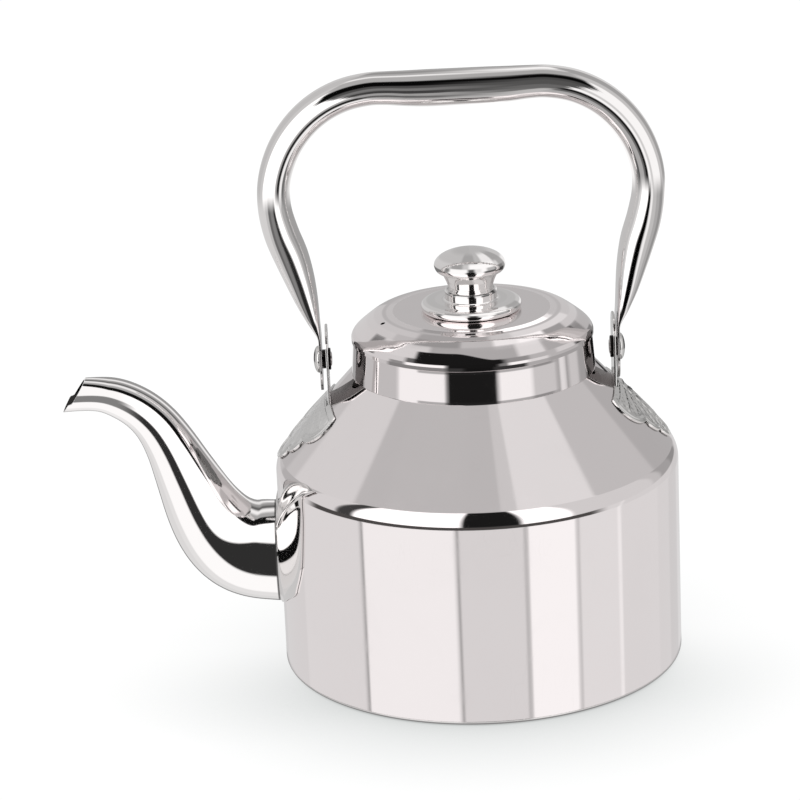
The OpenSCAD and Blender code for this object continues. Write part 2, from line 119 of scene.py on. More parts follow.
def uniform_cr(pts, n):
    """uniform Catmull-Rom, as the solid parts use"""
    P = np.asarray(pts, float)
    P = np.vstack([2 * P[0] - P[1], P, 2 * P[-1] - P[-2]])
    out = []
    for i in range(1, len(P) - 2):
        p0, p1, p2, p3 = P[i - 1], P[i], P[i + 1], P[i + 2]
        for k in range(n):
            t = k / n
            out.append(0.5 * (2 * p1 + (p2 - p0) * t + (2 * p0 - 5 * p1 + 4 * p2 - p3) * t * t
                              + (3 * p1 - p0 - 3 * p2 + p3) * t ** 3))
    out.append(P[-2])
    return np.array(out)


def smooth_path(P, rounds=3):
    P = P.copy()
    for _ in range(rounds):
        P[1:-1] = 0.25 * P[:-2] + 0.5 * P[1:-1] + 0.25 * P[2:]
    return P


def arc(cx, cz, r, a0, a1, n):
    return [(cx + r * math.cos(math.radians(a0 + (a1 - a0) * k / n)),
             cz + r * math.sin(math.radians(a0 + (a1 - a0) * k / n))) for k in range(n + 1)]


def support(loop, d=0.12, longest=6.0):
    """adds points close to the ends of long edges of a closed profile, and along them"""
    out = []
    m = len(loop)
    for i in range(m):
        a, b = np.array(loop[i], float), np.array(loop[(i + 1) % m], float)
        L = np.linalg.norm(b - a)
        out.append(tuple(a))
        if L > 5 * d:
            ts = [d / L]
            k = int(L // longest)
            ts += [(j + 1) / (k + 1) for j in range(k)] if k else []
            ts += [1 - d / L]
            for t in ts:
                out.append(tuple(a + (b - a) * t))
    return out


def lathe(loop, n=256, axis="Z", centre=0.0):
    """closed half profile (r, h) turned about an axis"""
    V, F, idx = [], [], []
    for r, h in loop:
        if r < 1e-6:
            idx.append([len(V)] * n)
            V.append((0.0, 0.0, h))
        else:
            base = len(V)
            idx.append([base + k for k in range(n)])
            V += [(r * math.cos(TAU * k / n), r * math.sin(TAU * k / n), h) for k in range(n)]
    m = len(loop)
    for i in range(m):
        a, b = idx[i], idx[(i + 1) % m]
        for k in range(n):
            q = [a[k], a[(k + 1) % n], b[(k + 1) % n], b[k]]
            u = []
            for x in q:
                if x not in u:
                    u.append(x)
            if len(u) >= 3:
                F.append(u)
    V = np.array(V)
    if axis == "X":
        V = np.stack([V[:, 2], V[:, 0], V[:, 1] + centre], 1)
    return V, F


def add_piece(name, V, F, mat, body, nodes, sharp=32.0, weld=0.002, keep_normals=False, second=None):
    me = bpy.data.meshes.new(name)
    me.from_pydata([tuple(p) for p in (np.asarray(V, float) * MM)], [], [tuple(int(i) for i in f) for f in F])
    if second:
        me.polygons.foreach_set("material_index", second[1])
    bm = bmesh.new()
    bm.from_mesh(me)
    bmesh.ops.remove_doubles(bm, verts=bm.verts, dist=weld * MM)
    bmesh.ops.dissolve_degenerate(bm, dist=1e-7, edges=bm.edges)
    if not keep_normals:
        bmesh.ops.recalc_face_normals(bm, faces=bm.faces)
    bm.to_mesh(me)
    bm.free()
    me.polygons.foreach_set("use_smooth", [True] * len(me.polygons))
    me.set_sharp_from_angle(angle=math.radians(sharp))
    me.update()
    ob = bpy.data.objects.new(name, me)
    bpy.context.scene.collection.objects.link(ob)
    me.materials.append(mat)
    if second:
        me.materials.append(second[0])
    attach(ob, body)
    if nodes:
        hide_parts(*nodes)
    return ob


# ------------------------------------------------------------------ node kit
def math_node(nt, op, a, b=None, c=None, clamp=False):
    n = nt.nodes.new("ShaderNodeMath")
    n.operation = op
    n.use_clamp = clamp
    for i, v in enumerate((a, b, c)):
        if v is None:
            continue
        if hasattr(v, "is_output") or isinstance(v, bpy.types.NodeSocket):
            nt.links.new(v, n.inputs[i])
        else:
            n.inputs[i].default_value = v
    return n.outputs[0]


def ramp_node(nt, fac, stops, interp="LINEAR"):
    n = nt.nodes.new("ShaderNodeValToRGB")
    n.color_ramp.interpolation = interp
    el = n.color_ramp.elements
    stops = sorted(stops)
    while len(el) < len(stops):
        el.new(0.5)
    for e, (p, c) in zip(el, stops):
        e.position = p
        e.color = (c, c, c, 1.0) if not isinstance(c, tuple) else (*c, 1.0)
    # positions are set twice, because adding an element sorts the list
    for e, (p, c) in zip(el, stops):
        e.position = p
    nt.links.new(fac, n.inputs[0])
    return n.outputs[0]


def mix_col(nt, fac, a, b):
    n = nt.nodes.new("ShaderNodeMix")
    n.data_type = "RGBA"
    n.clamp_factor = True
    for sock, v in ((n.inputs[0], fac), (n.inputs[6], a), (n.inputs[7], b)):
        if isinstance(v, bpy.types.NodeSocket):
            nt.links.new(v, sock)
        elif isinstance(v, tuple):
            sock.default_value = (*v, 1.0) if len(v) == 3 else v
        else:
            sock.default_value = v if sock == n.inputs[0] else (v, v, v, 1.0)
    return n.outputs[2]


def smooth(nt, x, a, b):
    """0 below a, 1 above b"""
    n = nt.nodes.new("ShaderNodeMapRange")
    n.interpolation_type = "SMOOTHSTEP"
    n.inputs["From Min"].default_value = min(a, b)
    n.inputs["From Max"].default_value = max(a, b)
    n.inputs["To Min"].default_value = 0.0 if a < b else 1.0
    n.inputs["To Max"].default_value = 1.0 if a < b else 0.0
    nt.links.new(x, n.inputs["Value"])
    return n.outputs[0]


def lin(v):
    """display grey 0-1 to scene-linear"""
    return v / 12.92 if v <= 0.04045 else ((v + 0.055) / 1.055) ** 2.4


STEEL = 0.915  # mean mirror reflectance that the studio levels allow for


def bands(steps, soft=1.6):
    """[(azimuth deg of the start, display grey), ...] to ramp stops with short soft edges"""
    out = []
    for i, (a, g) in enumerate(steps):
        level = lin(g) / STEEL if g < 0.995 else 1.35
        if i:
            out.append(((a + soft) / 360 + 0.5, level))
        else:
            out.append((0.0, level))
        end = steps[i + 1][0] if i + 1 < len(steps) else 180.0
        out.append(((end - soft) / 360 + 0.5 if i + 1 < len(steps) else 1.0, level))
    return out


# what the polished steel sees, by compass direction: 0 is the camera's side, +90 is +X
SIDES = [(-180, 0.74), (-147, 0.68), (-112, 0.82), (-87, 0.24), (-75, 1.0), (-11.5, 0.10), (22, 1.0), (51, 0.80),
         (112, 0.74), (122, 0.62), (138, 0.55), (152, 0.72)]
TABLE = [(-180, 0.79), (-160, 0.815), (-124, 0.84), (-73, 0.60), (-71, 0.93), (-15.3, 0.60), (-13.6, 0.825),
         (23.8, 0.62), (25.5, 0.96), (54.8, 0.68), (56.4, 0.86), (84, 0.92), (86.5, 0.835), (122, 0.82), (138, 0.79), (155, 0.83)]
CEILING = [(-180, 0.70), (-145, 0.75), (-135, 0.81), (-94, 0.715), (18, 0.77), (32, 0.85), (86, 0.735), (126, 0.67)]
FAR_TABLE = [(-180, 0.75), (-162, 0.16), (-138, 0.73), (-104, 0.78), (-76, 0.92), (-36, 0.11), (15, 0.91), (46, 0.80),
             (66, 0.66), (94, 0.73), (116, 0.60), (133, 0.14), (166, 0.7)]


# what single parts see, by the slope of their own surface: [(angle deg, display grey), ...]
# spout: 0 faces the camera, +90 faces up and towards the body
TUBE = [(-90, 0.85), (-47, 0.88), (-37, 0.99), (-11, 0.18), (4, 1.0), (90, 1.0)]
TUBE_TIP = [(-90, 0.85), (-50, 0.93), (-36, 0.99), (-10, 0.50), (13, 0.985), (90, 1.0)]
TUBE_TOP = [(0, 0.65), (8, 0.94), (15, 0.36), (21, 0.60), (28, 0.93), (36, 0.58)]
# handle: +90 faces away from the middle of the loop
GRIP_FRONT = [(-90, 0.90), (-66, 0.82), (-55, 0.66), (-45, 0.44), (-35, 0.66), (-19, 0.34), (-12, 0.62), (-4, 0.24), (5, 0.46), (13, 0.30), (20.5, 0.03),
              (36, 0.67), (53, 0.93), (59, 0.67), (68, 0.57), (80, 0.66)]
GRIP_BACK = [(-90, 0.995), (-58, 0.93), (-52, 0.78), (-44, 0.57), (-36, 0.46), (-28, 0.72), (-12, 0.40), (4, 0.32), (20, 0.28), (27.5, 0.03), (38, 0.30), (41, 0.65),
             (56, 0.82), (62, 0.97), (71, 0.76), (80, 0.62)]
ARC_FRONT = [(-90, 0.96), (-70, 0.86), (-58, 0.74), (-50, 0.60), (-38, 0.42), (-29, 0.94), (-20, 0.14), (-11, 0.66), (-5, 1.0), (40, 0.78), (52, 0.74), (76, 0.78)]
ARC_BACK = [(-90, 0.97), (-60, 0.80), (-51, 0.46), (-38, 0.30), (-33, 0.66), (-17, 0.40), (-11, 0.10), (-3, 0.97), (5, 0.80), (12, 0.97), (41, 0.76), (54, 0.62), (74, 0.82)]
LEG_FRONT = [(-90, 0.62), (-46, 0.57), (-36, 0.66), (-24, 0.82), (-18, 1.0), (-3, 0.15), (2.5, 0.50), (12, 0.40), (20, 0.74), (30, 0.82), (80, 0.86)]
LEG_BACK = [(-90, 0.74), (-36, 0.84), (-28, 1.0), (-4.5, 0.01), (2.5, 0.94), (9, 0.74), (22, 0.66), (36, 0.57), (52, 0.76), (62, 0.92), (72, 1.0)]
# turned parts, by compass direction of the surface (0 = camera side), at several slopes (vertical part of the normal)
NECK = [(-90, 0.88), (-84, 0.62), (-75, 0.27), (-65, 0.735), (-39, 0.94), (-14.5, 0.10), (9.7, 0.94), (27, 0.77), (41, 0.60), (42.5, 0.86),
        (47, 0.58), (49, 0.77), (57, 0.61), (65, 0.12), (76, 0.05), (86, 0.40)]
LID_EDGE = [(-90, 0.85), (-84, 0.57), (-74, 0.42), (-64, 0.76), (-45, 0.50), (-14, 0.20), (-6, 0.08), (8, 0.20), (24, 0.66), (36, 0.62), (62, 0.50),
            (66, 0.26), (76, 0.53), (86, 0.78)]
LID_STEP = [(-180, 0.72), (-110, 0.74), (-38, 0.60), (3, 0.84), (9, 1.0), (60, 0.90), (68, 0.74)]
LID_ROLL = [(-90, 0.80), (-78, 0.35), (-66, 0.80), (-44, 0.55), (-35, 0.98), (-14.5, 0.09), (10.5, 0.47), (15, 0.97), (25, 0.84), (36, 0.70), (58, 0.60), (65, 0.24), (78, 0.50)]
LID_TURN = [(-90, 0.78), (-65, 0.30), (-56, 0.80), (-35, 0.38), (-26, 0.04), (12, 0.55), (26, 0.70), (42, 0.80), (56, 0.30), (66, 0.50), (84, 0.71)]
LID_SLOPE = [(-180, 0.70), (-110, 0.79), (-65, 0.46), (-55, 0.82), (-24, 0.66), (21, 0.85), (36, 0.66), (54, 0.16), (65, 0.54), (74, 0.70), (105, 0.74)]
LID_BROW = [(-180, 0.66), (-110, 0.78), (-50, 0.72), (-35, 0.58), (-8, 0.73), (10, 0.92), (24, 0.98), (42, 0.60), (60, 0.78), (100, 0.74)]
LID_RIM = [(-180, 0.68), (-110, 0.765), (-35, 0.63), (-8, 0.62), (8, 0.77), (22, 0.85), (75, 0.76)]
LID_TOP_SEES = [(-180, 0.695), (0, 0.71)]
KNOB_SIDE = [(-90, 0.46), (-47, 0.56), (-38, 0.99), (-8, 0.03), (8, 0.96), (22, 0.34), (45, 0.24), (68, 0.64), (76, 0.92)]
KNOB_ROLL = [(-90, 0.78), (-46, 0.50), (-36, 0.99), (-5, 0.30), (6, 0.90), (17, 0.99), (27, 0.70), (44, 0.48), (64, 0.60), (75, 0.95)]
KNOB_BROW = [(-90, 0.79), (-35, 0.62), (-14, 0.78), (-3, 0.99), (44, 0.84), (54, 0.66), (74, 0.92)]
KNOB_CROWN = [(-90, 0.74), (-18, 0.64), (8, 0.72), (22, 0.92), (46, 0.64), (74, 0.76)]


SKIRT = [(-180, 0.86), (-66, 0.99), (-6, 0.86), (4, 0.90)]
SKIRT_TOP = [(-180, 0.70), (-75, 0.52), (-52, 0.90), (-40, 0.15), (-30, 0.62), (-12, 0.30), (4, 0.70)]


def stations(path, coord, count):
    """evenly chosen places along a path: ramp position and outward direction in the path's plane"""
    d = np.gradient(path[:, :2], axis=0)
    d /= np.linalg.norm(d, axis=1)[:, None]
    c = coord(path)
    want = np.linspace(c.min(), c.max(), count)
    order = np.argsort(c)
    return [(float(w), float(np.interp(w, c[order], -d[order, 1])), float(np.interp(w, c[order], d[order, 0]))) for w in want]


def spout_frames():
    return stations(smooth_path(uniform_cr(SPOUT, 14), 40), lambda p: (p[:, 0] / 1000) * 10 + 1.8, 24)


def bail_frames():
    half = smooth_path(uniform_cr(BAIL, 14), 10)
    line = np.vstack([half[:0:-1] * np.array([-1, 1, 1, 1, 1]), half])
    return stations(line, lambda p: np.arctan2(p[:, 0] - 1.9, p[:, 1] - 190) / TAU + 0.5, 30)


def studio_group():
    # painted reflections: the colour a mirror ray meets, by its direction and, for single parts, by the point the ray
    # left from
    g = bpy.data.node_groups.new("StudioSurround", "ShaderNodeTree")
    g.interface.new_socket("Direction", in_out="INPUT", socket_type="NodeSocketVector")
    g.interface.new_socket("Origin", in_out="INPUT", socket_type="NodeSocketVector")
    g.interface.new_socket("First", in_out="INPUT", socket_type="NodeSocketFloat")
    g.interface.new_socket("Color", in_out="OUTPUT", socket_type="NodeSocketColor")
    gi, go = g.nodes.new("NodeGroupInput"), g.nodes.new("NodeGroupOutput")

    def vec(op, a, b=None):
        n = g.nodes.new("ShaderNodeVectorMath")
        n.operation = op
        for sock, v in ((n.inputs[0], a), (n.inputs[1], b)):
            if isinstance(v, bpy.types.NodeSocket):
                g.links.new(v, sock)
            elif v is not None:
                sock.default_value = v
        return n.outputs[0]

    def split(v):
        n = g.nodes.new("ShaderNodeSeparateXYZ")
        g.links.new(v, n.inputs[0])
        return n.outputs

    def m(op, a, b=None, c=None):
        return math_node(g, op, a, b, c)

    def length2(a, b):
        return m("SQRT", m("ADD", m("MULTIPLY", a, a), m("MULTIPLY", b, b)))

    dirn = vec("NORMALIZE", gi.outputs[0])
    x, y, z = split(dirn)
    az = m("ARCTAN2", x, m("MULTIPLY", y, -1.0))
    t = m("MULTIPLY_ADD", az, 1 / TAU, 0.5)
    el = m("MULTIPLY", m("ARCSINE", z), 180 / math.pi)
    # the surface slope that sends the line of sight this way
    sight = vec("NORMALIZE", vec("SUBTRACT", gi.outputs[1], CAM))
    hx, hy, hz = split(vec("NORMALIZE", vec("SUBTRACT", dirn, sight)))
    facing = g.nodes.new("ShaderNodeVectorMath")
    facing.operation = "DOT_PRODUCT"
    g.links.new(sight, facing.inputs[0])
    g.links.new(vec("NORMALIZE", vec("SUBTRACT", dirn, sight)), facing.inputs[1])
    facing = m("ABSOLUTE", facing.outputs["Value"])
    ht = m("MULTIPLY_ADD", m("ARCTAN2", hx, m("MULTIPLY", hy, -1.0)), 1 / TAU, 0.5)
    ox, oy, oz = split(gi.outputs[1])
    rad = length2(ox, oy)

    sides = ramp_node(g, t, bands(SIDES))
    table = ramp_node(g, t, bands(TABLE, 0.5))
    ceil = ramp_node(g, t, bands(CEILING, 1.0))
    far = ramp_node(g, t, bands(FAR_TABLE, 2.0))
    col = mix_col(g, smooth(g, hz, 0.645, 0.662), sides, ceil)
    # the far part of the table, below the horizon
    high = smooth(g, oz, 0.098, 0.112)
    rim = m("MULTIPLY", m("MULTIPLY", smooth(g, ht, 0.338, 0.356), smooth(g, ht, 0.604, 0.584)), smooth(g, oz, 0.0835, 0.0842))
    low = mix_col(g, high, mix_col(g, smooth(g, el, -6.0, -3.0), mix_col(g, rim, mix_col(g, 0.35, table, lin(0.80)), (0.07, 0.067, 0.065)), sides), far)
    col = mix_col(g, smooth(g, el, -3.0, -4.5), col, low)
    near = mix_col(g, high, table, mix_col(g, 0.65, far, table))
    col = mix_col(g, smooth(g, el, -17.0, -19.0), col, near)
    # the skirt mirrors the root of the spout, which is dark along the horizon
    root = m("MULTIPLY", smooth(g, ox, -0.0862, -0.0868), smooth(g, oz, 0.098, 0.096))
    plain_ = mix_col(g, m("MULTIPLY", root, m("MULTIPLY", smooth(g, el, -16.0, -14.5), smooth(g, el, 10.0, 8.0))), col, 0.004)

    # tubes: angle of the surface across the tube
    def across(nx, nz):
        q = m("ADD", m("MULTIPLY", hx, nx), m("MULTIPLY", hz, nz))
        return m("MULTIPLY", m("ARCTAN2", q, m("MULTIPLY", hy, -1.0)), 360 / TAU)

    def frame_of(t, stations):
        """outward direction of the tube in its own plane, by position along it"""
        n = g.nodes.new("ShaderNodeSeparateXYZ")
        g.links.new(ramp_node(g, t, [(p, (0.5 + 0.5 * a, 0.0, 0.5 + 0.5 * b)) for p, a, b in stations]), n.inputs[0])
        return m("MULTIPLY_ADD", n.outputs[0], 2.0, -1.0), m("MULTIPLY_ADD", n.outputs[2], 2.0, -1.0)

    def lane(a, stops, soft=1.0):
        return ramp_node(g, m("MULTIPLY_ADD", a, 1 / 360, 0.5), bands([(-180, stops[0][1])] + stops[1:], soft))

    nx, nz = frame_of(m("MULTIPLY_ADD", ox, 10.0, 1.8), spout_frames())
    a = across(nx, nz)
    # the dark lane widens towards the body
    grow = m("MULTIPLY", smooth(g, ox, -0.1155, -0.0935), 24.0)
    b = m("MINIMUM", a, m("MAXIMUM", m("SUBTRACT", a, grow), -3.0))
    tube = mix_col(g, smooth(g, ox, -0.150, -0.138), lane(a, TUBE_TIP), lane(b, TUBE))
    # a thin dark line and the busy upper side
    edge = m("ADD", m("MULTIPLY", m("MAXIMUM", m("SUBTRACT", ox, -0.124), 0.0), 480.0), 36.0)
    edge = m("ADD", edge, m("MULTIPLY", m("MAXIMUM", m("SUBTRACT", -0.153, ox), 0.0), 1200.0))
    over = m("SUBTRACT", a, edge)
    top = mix_col(g, smooth(g, over, 7.5, 9.5), 0.006, lane(m("SUBTRACT", over, 7.5), TUBE_TOP, 2.0))
    tube = mix_col(g, smooth(g, over, -2.0, -0.5), tube, top)
    rimline = m("MULTIPLY", smooth(g, facing, 0.24, 0.14), smooth(g, a, -30.0, -45.0))
    tube = mix_col(g, rimline, tube, 0.22)
    col = mix_col(g, m("MULTIPLY", smooth(g, ox, -0.0858, -0.0866), smooth(g, oz, 0.138, 0.137)), col, tube)

    # skirt of the spout: a bright core with a dark line beside it
    curve = ramp_node(g, m("MULTIPLY", oz, 10.0), [(0.0, 0.0), (0.50, 17 / 60), (0.55, 22 / 60), (0.61, 31 / 60), (0.67, 37.2 / 60), (0.71, 39.4 / 60),
                                                  (0.78, 41.0 / 60), (0.95, 41.3 / 60)])
    past = m("SUBTRACT", m("MULTIPLY", oy, -1000.0), m("MULTIPLY", curve, 60.0))
    skirt = mix_col(g, smooth(g, past, -2.0, -1.2), ramp_node(g, ht, bands(SKIRT, 2.0)), 0.006)
    skirt = mix_col(g, smooth(g, past, 0.6, 1.3), skirt, lin(0.80))
    skirt = mix_col(g, smooth(g, hz, 0.30, 0.45), skirt, ramp_node(g, ht, bands(SKIRT_TOP, 2.0)))
    skirt = mix_col(g, smooth(g, hz, -0.42, -0.52), skirt, lin(0.78))
    shell_d = length2(m("SUBTRACT", rad, 0.0748), m("MAXIMUM", m("SUBTRACT", oz, 0.0848), 0.0))
    smask = m("MULTIPLY", m("MULTIPLY", smooth(g, shell_d, 0.01045, 0.01060), smooth(g, ox, -0.0866, -0.0858)),
              m("MULTIPLY", m("MULTIPLY", smooth(g, oy, -0.016, -0.017), smooth(g, ox, -0.045, -0.047)), smooth(g, oz, 0.0935, 0.0925)))
    col = mix_col(g, smask, col, skirt)
    # shaded weld line between tube and skirt
    weld = m("MULTIPLY", smooth(g, m("ABSOLUTE", m("ADD", ox, 0.08625)), 0.00055, 0.00025), smooth(g, oz, 0.0955, 0.095))
    col = mix_col(g, m("MULTIPLY", weld, 0.8), col, 0.05)

    cx, cz = ox, m("SUBTRACT", oz, 0.19)
    nx, nz = frame_of(m("MULTIPLY_ADD", m("ARCTAN2", cx, cz), 1 / TAU, 0.5), bail_frames())
    a = across(nx, nz)
    # noise wobbles the painted reflection lanes along the grip
    gn = g.nodes.new("ShaderNodeTexNoise")
    gn.inputs["Scale"].default_value = 1.0
    gn.inputs["Detail"].default_value = 3.0
    gm = g.nodes.new("ShaderNodeCombineXYZ")
    g.links.new(m("MULTIPLY", ox, 55.0), gm.inputs[0])
    g.links.new(m("MULTIPLY", a, 0.42), gm.inputs[1])
    g.links.new(gm.outputs[0], gn.inputs["Vector"])
    wob = m("MULTIPLY", m("SUBTRACT", gn.outputs[0], 0.5), 9.0)
    ag = m("ADD", a, m("MULTIPLY", wob, m("MULTIPLY", smooth(g, a, -36.0, -26.0), smooth(g, a, 20.0, 12.0))))
    grip = mix_col(g, smooth(g, ox, -0.02, 0.03), lane(ag, GRIP_FRONT, 1.2), lane(ag, GRIP_BACK, 1.2))
    arc_ = mix_col(g, smooth(g, ox, -0.01, 0.01), lane(a, ARC_FRONT, 1.2), lane(a, ARC_BACK, 1.2))
    leg = mix_col(g, smooth(g, ox, -0.01, 0.01), lane(a, LEG_FRONT), lane(a, LEG_BACK))
    # the dark middle of the grip runs out in a point on each arc
    reach = m("ADD", m("ABSOLUTE", m("ADD", ox, 0.003)), m("MULTIPLY", m("ABSOLUTE", m("SUBTRACT", a, 28.0)), 0.00045))
    reach = m("ADD", reach, m("MULTIPLY", m("SUBTRACT", gn.outputs[0], 0.5), 0.012))
    bail = mix_col(g, smooth(g, reach, 0.0600, 0.0565), arc_, grip)
    bail = mix_col(g, smooth(g, oz, 0.208, 0.198), bail, leg)
    mask = m("MULTIPLY", smooth(g, oz, 0.149, 0.153), smooth(g, rad, 0.0535, 0.0545))
    mask = m("MAXIMUM", mask, smooth(g, oz, 0.180, 0.181))
    col = mix_col(g, mask, col, bail)

    # turned parts
    def rows(first, levels, soft=1.0):
        out = ramp_node(g, ht, bands(first, soft))
        for at, half, stops in levels:
            out = mix_col(g, smooth(g, hz, at - half, at + half), out, ramp_node(g, ht, bands(stops, soft)))
        return out

    collar = ramp_node(g, ht, bands(NECK, 1.0))
    lip = m("MULTIPLY", m("MAXIMUM", smooth(g, oz, 0.1276, 0.1272), smooth(g, oz, 0.1388, 0.1394)), m("MULTIPLY", smooth(g, ht, 0.418, 0.424), smooth(g, ht, 0.62, 0.60)))
    collar = mix_col(g, m("MULTIPLY", lip, 0.55), collar, 0.02)
    col = mix_col(g, m("MULTIPLY", smooth(g, rad, 0.0517, 0.0515), m("MULTIPLY", smooth(g, oz, 0.1262, 0.1264), smooth(g, oz, 0.1404, 0.1403))), col, collar)
    lid = rows(LID_EDGE, [(0.25, 0.02, LID_ROLL), (0.555, 0.02, LID_TURN), (0.735, 0.015, LID_SLOPE), (0.800, 0.01, LID_BROW), (0.905, 0.02, LID_RIM),
                          (0.988, 0.006, LID_TOP_SEES)])
    # dark crescent on the front of the slope
    inner_r = m("ADD", 0.0459, m("MULTIPLY", smooth(g, ht, 0.47, 0.535), 0.0030))
    cres = m("MULTIPLY", smooth(g, m("SUBTRACT", rad, inner_r), 0.0, 0.0004), m("MULTIPLY", smooth(g, ht, 0.412, 0.420), smooth(g, ht, 0.545, 0.530)))
    lid = mix_col(g, m("MULTIPLY", cres, smooth(g, hz, 0.53, 0.58)), lid, 0.010)
    step = m("MULTIPLY", smooth(g, rad, 0.0328, 0.0332), smooth(g, rad, 0.0362, 0.0352))
    lid = mix_col(g, step, lid, ramp_node(g, ht, bands(LID_STEP, 1.5)))
    col = mix_col(g, m("MULTIPLY", m("MULTIPLY", smooth(g, rad, 0.0512, 0.0510), smooth(g, oz, 0.156, 0.155)), smooth(g, oz, 0.1403, 0.1404)), col, lid)
    knob = rows(KNOB_SIDE, [(0.16, 0.08, KNOB_ROLL), (0.50, 0.06, KNOB_BROW), (0.80, 0.06, KNOB_CROWN), (0.972, 0.02, LID_TOP_SEES)], 2.4)
    foot = m("MULTIPLY", m("MULTIPLY", smooth(g, oz, 0.1599, 0.1603), smooth(g, oz, 0.1616, 0.1612)), m("MULTIPLY", smooth(g, ht, 0.30, 0.36), smooth(g, ht, 0.70, 0.66)))
    knob = mix_col(g, m("MULTIPLY", foot, 0.9), knob, 0.01)
    kmask = m("MULTIPLY", smooth(g, rad, 0.0220, 0.0219), m("MULTIPLY", smooth(g, oz, 0.15191, 0.15195), smooth(g, oz, 0.181, 0.180)))
    col = mix_col(g, kmask, col, knob)
    # a second mirror only sees the panels by direction
    col = mix_col(g, gi.outputs[2], plain_, col)
    g.links.new(col, go.inputs[0])
    return g


CAM = (-0.031425, -1.333556, 0.560722)
STUDIO = studio_group()


def world():
    w = bpy.data.worlds.new("Studio")
    bpy.context.scene.world = w
    w.use_nodes = True
    nt = w.node_tree
    nt.nodes.clear()
    out = nt.nodes.new("ShaderNodeOutputWorld")
    plain = nt.nodes.new("ShaderNodeBackground")
    plain.inputs[0].default_value = (1, 1, 1, 1)
    plain.inputs[1].default_value = 1.02
    nt.links.new(plain.outputs[0], out.inputs[0])
    w.cycles.sampling_method = "NONE"


def seen_from(nt):
    """direction of the ray and the point it started from"""
    lp = nt.nodes.new("ShaderNodeLightPath")
    geo = nt.nodes.new("ShaderNodeNewGeometry")
    neg = nt.nodes.new("ShaderNodeVectorMath")
    neg.operation = "SCALE"
    neg.inputs["Scale"].default_value = -1.0
    nt.links.new(geo.outputs["Incoming"], neg.inputs[0])
    back = nt.nodes.new("ShaderNodeVectorMath")
    back.operation = "SCALE"
    nt.links.new(geo.outputs["Incoming"], back.inputs[0])
    nt.links.new(lp.outputs["Ray Length"], back.inputs["Scale"])
    add = nt.nodes.new("ShaderNodeVectorMath")
    add.operation = "ADD"
    nt.links.new(geo.outputs["Position"], add.inputs[0])
    nt.links.new(back.outputs[0], add.inputs[1])
    gr = nt.nodes.new("ShaderNodeGroup")
    gr.node_tree = STUDIO
    nt.links.new(neg.outputs[0], gr.inputs[0])
    nt.links.new(add.outputs[0], gr.inputs[1])
    nt.links.new(math_node(nt, "LESS_THAN", lp.outputs["Glossy Depth"], 1.5), gr.inputs[2])
    return lp, geo, gr


def surround_piece():
    """large shell of studio panels, seen only in reflections"""
    V, F = [], []
    n, k = 64, 24
    for i in range(k + 1):
        e = math.radians(-20 + 110 * i / k)
        for j in range(n):
            a = TAU * j / n
            V.append((4.0 * math.cos(e) * math.cos(a), 4.0 * math.cos(e) * math.sin(a), 4.0 * math.sin(e)))
    for i in range(k):
        for j in range(n):
            q = (j + 1) % n
            F.append((i * n + j, i * n + q, (i + 1) * n + q, (i + 1) * n + j))
    me = bpy.data.meshes.new("studio_surround")
    me.from_pydata(V, [], F)
    ob = bpy.data.objects.new("studio_surround", me)
    bpy.context.scene.collection.objects.link(ob)
    m = bpy.data.materials.new("studio_surround")
    m.use_nodes = True
    nt = m.node_tree
    nt.nodes.clear()
    out = nt.nodes.new("ShaderNodeOutputMaterial")
    lp, geo, gr = seen_from(nt)
    em = nt.nodes.new("ShaderNodeEmission")
    nt.links.new(gr.outputs[0], em.inputs[0])
    nt.links.new(em.outputs[0], out.inputs[0])
    m.cycles.emission_sampling = "NONE"
    me.materials.append(m)
    for name in ("camera", "diffuse", "transmission", "volume_scatter", "shadow"):
        setattr(ob, "visible_" + name, False)


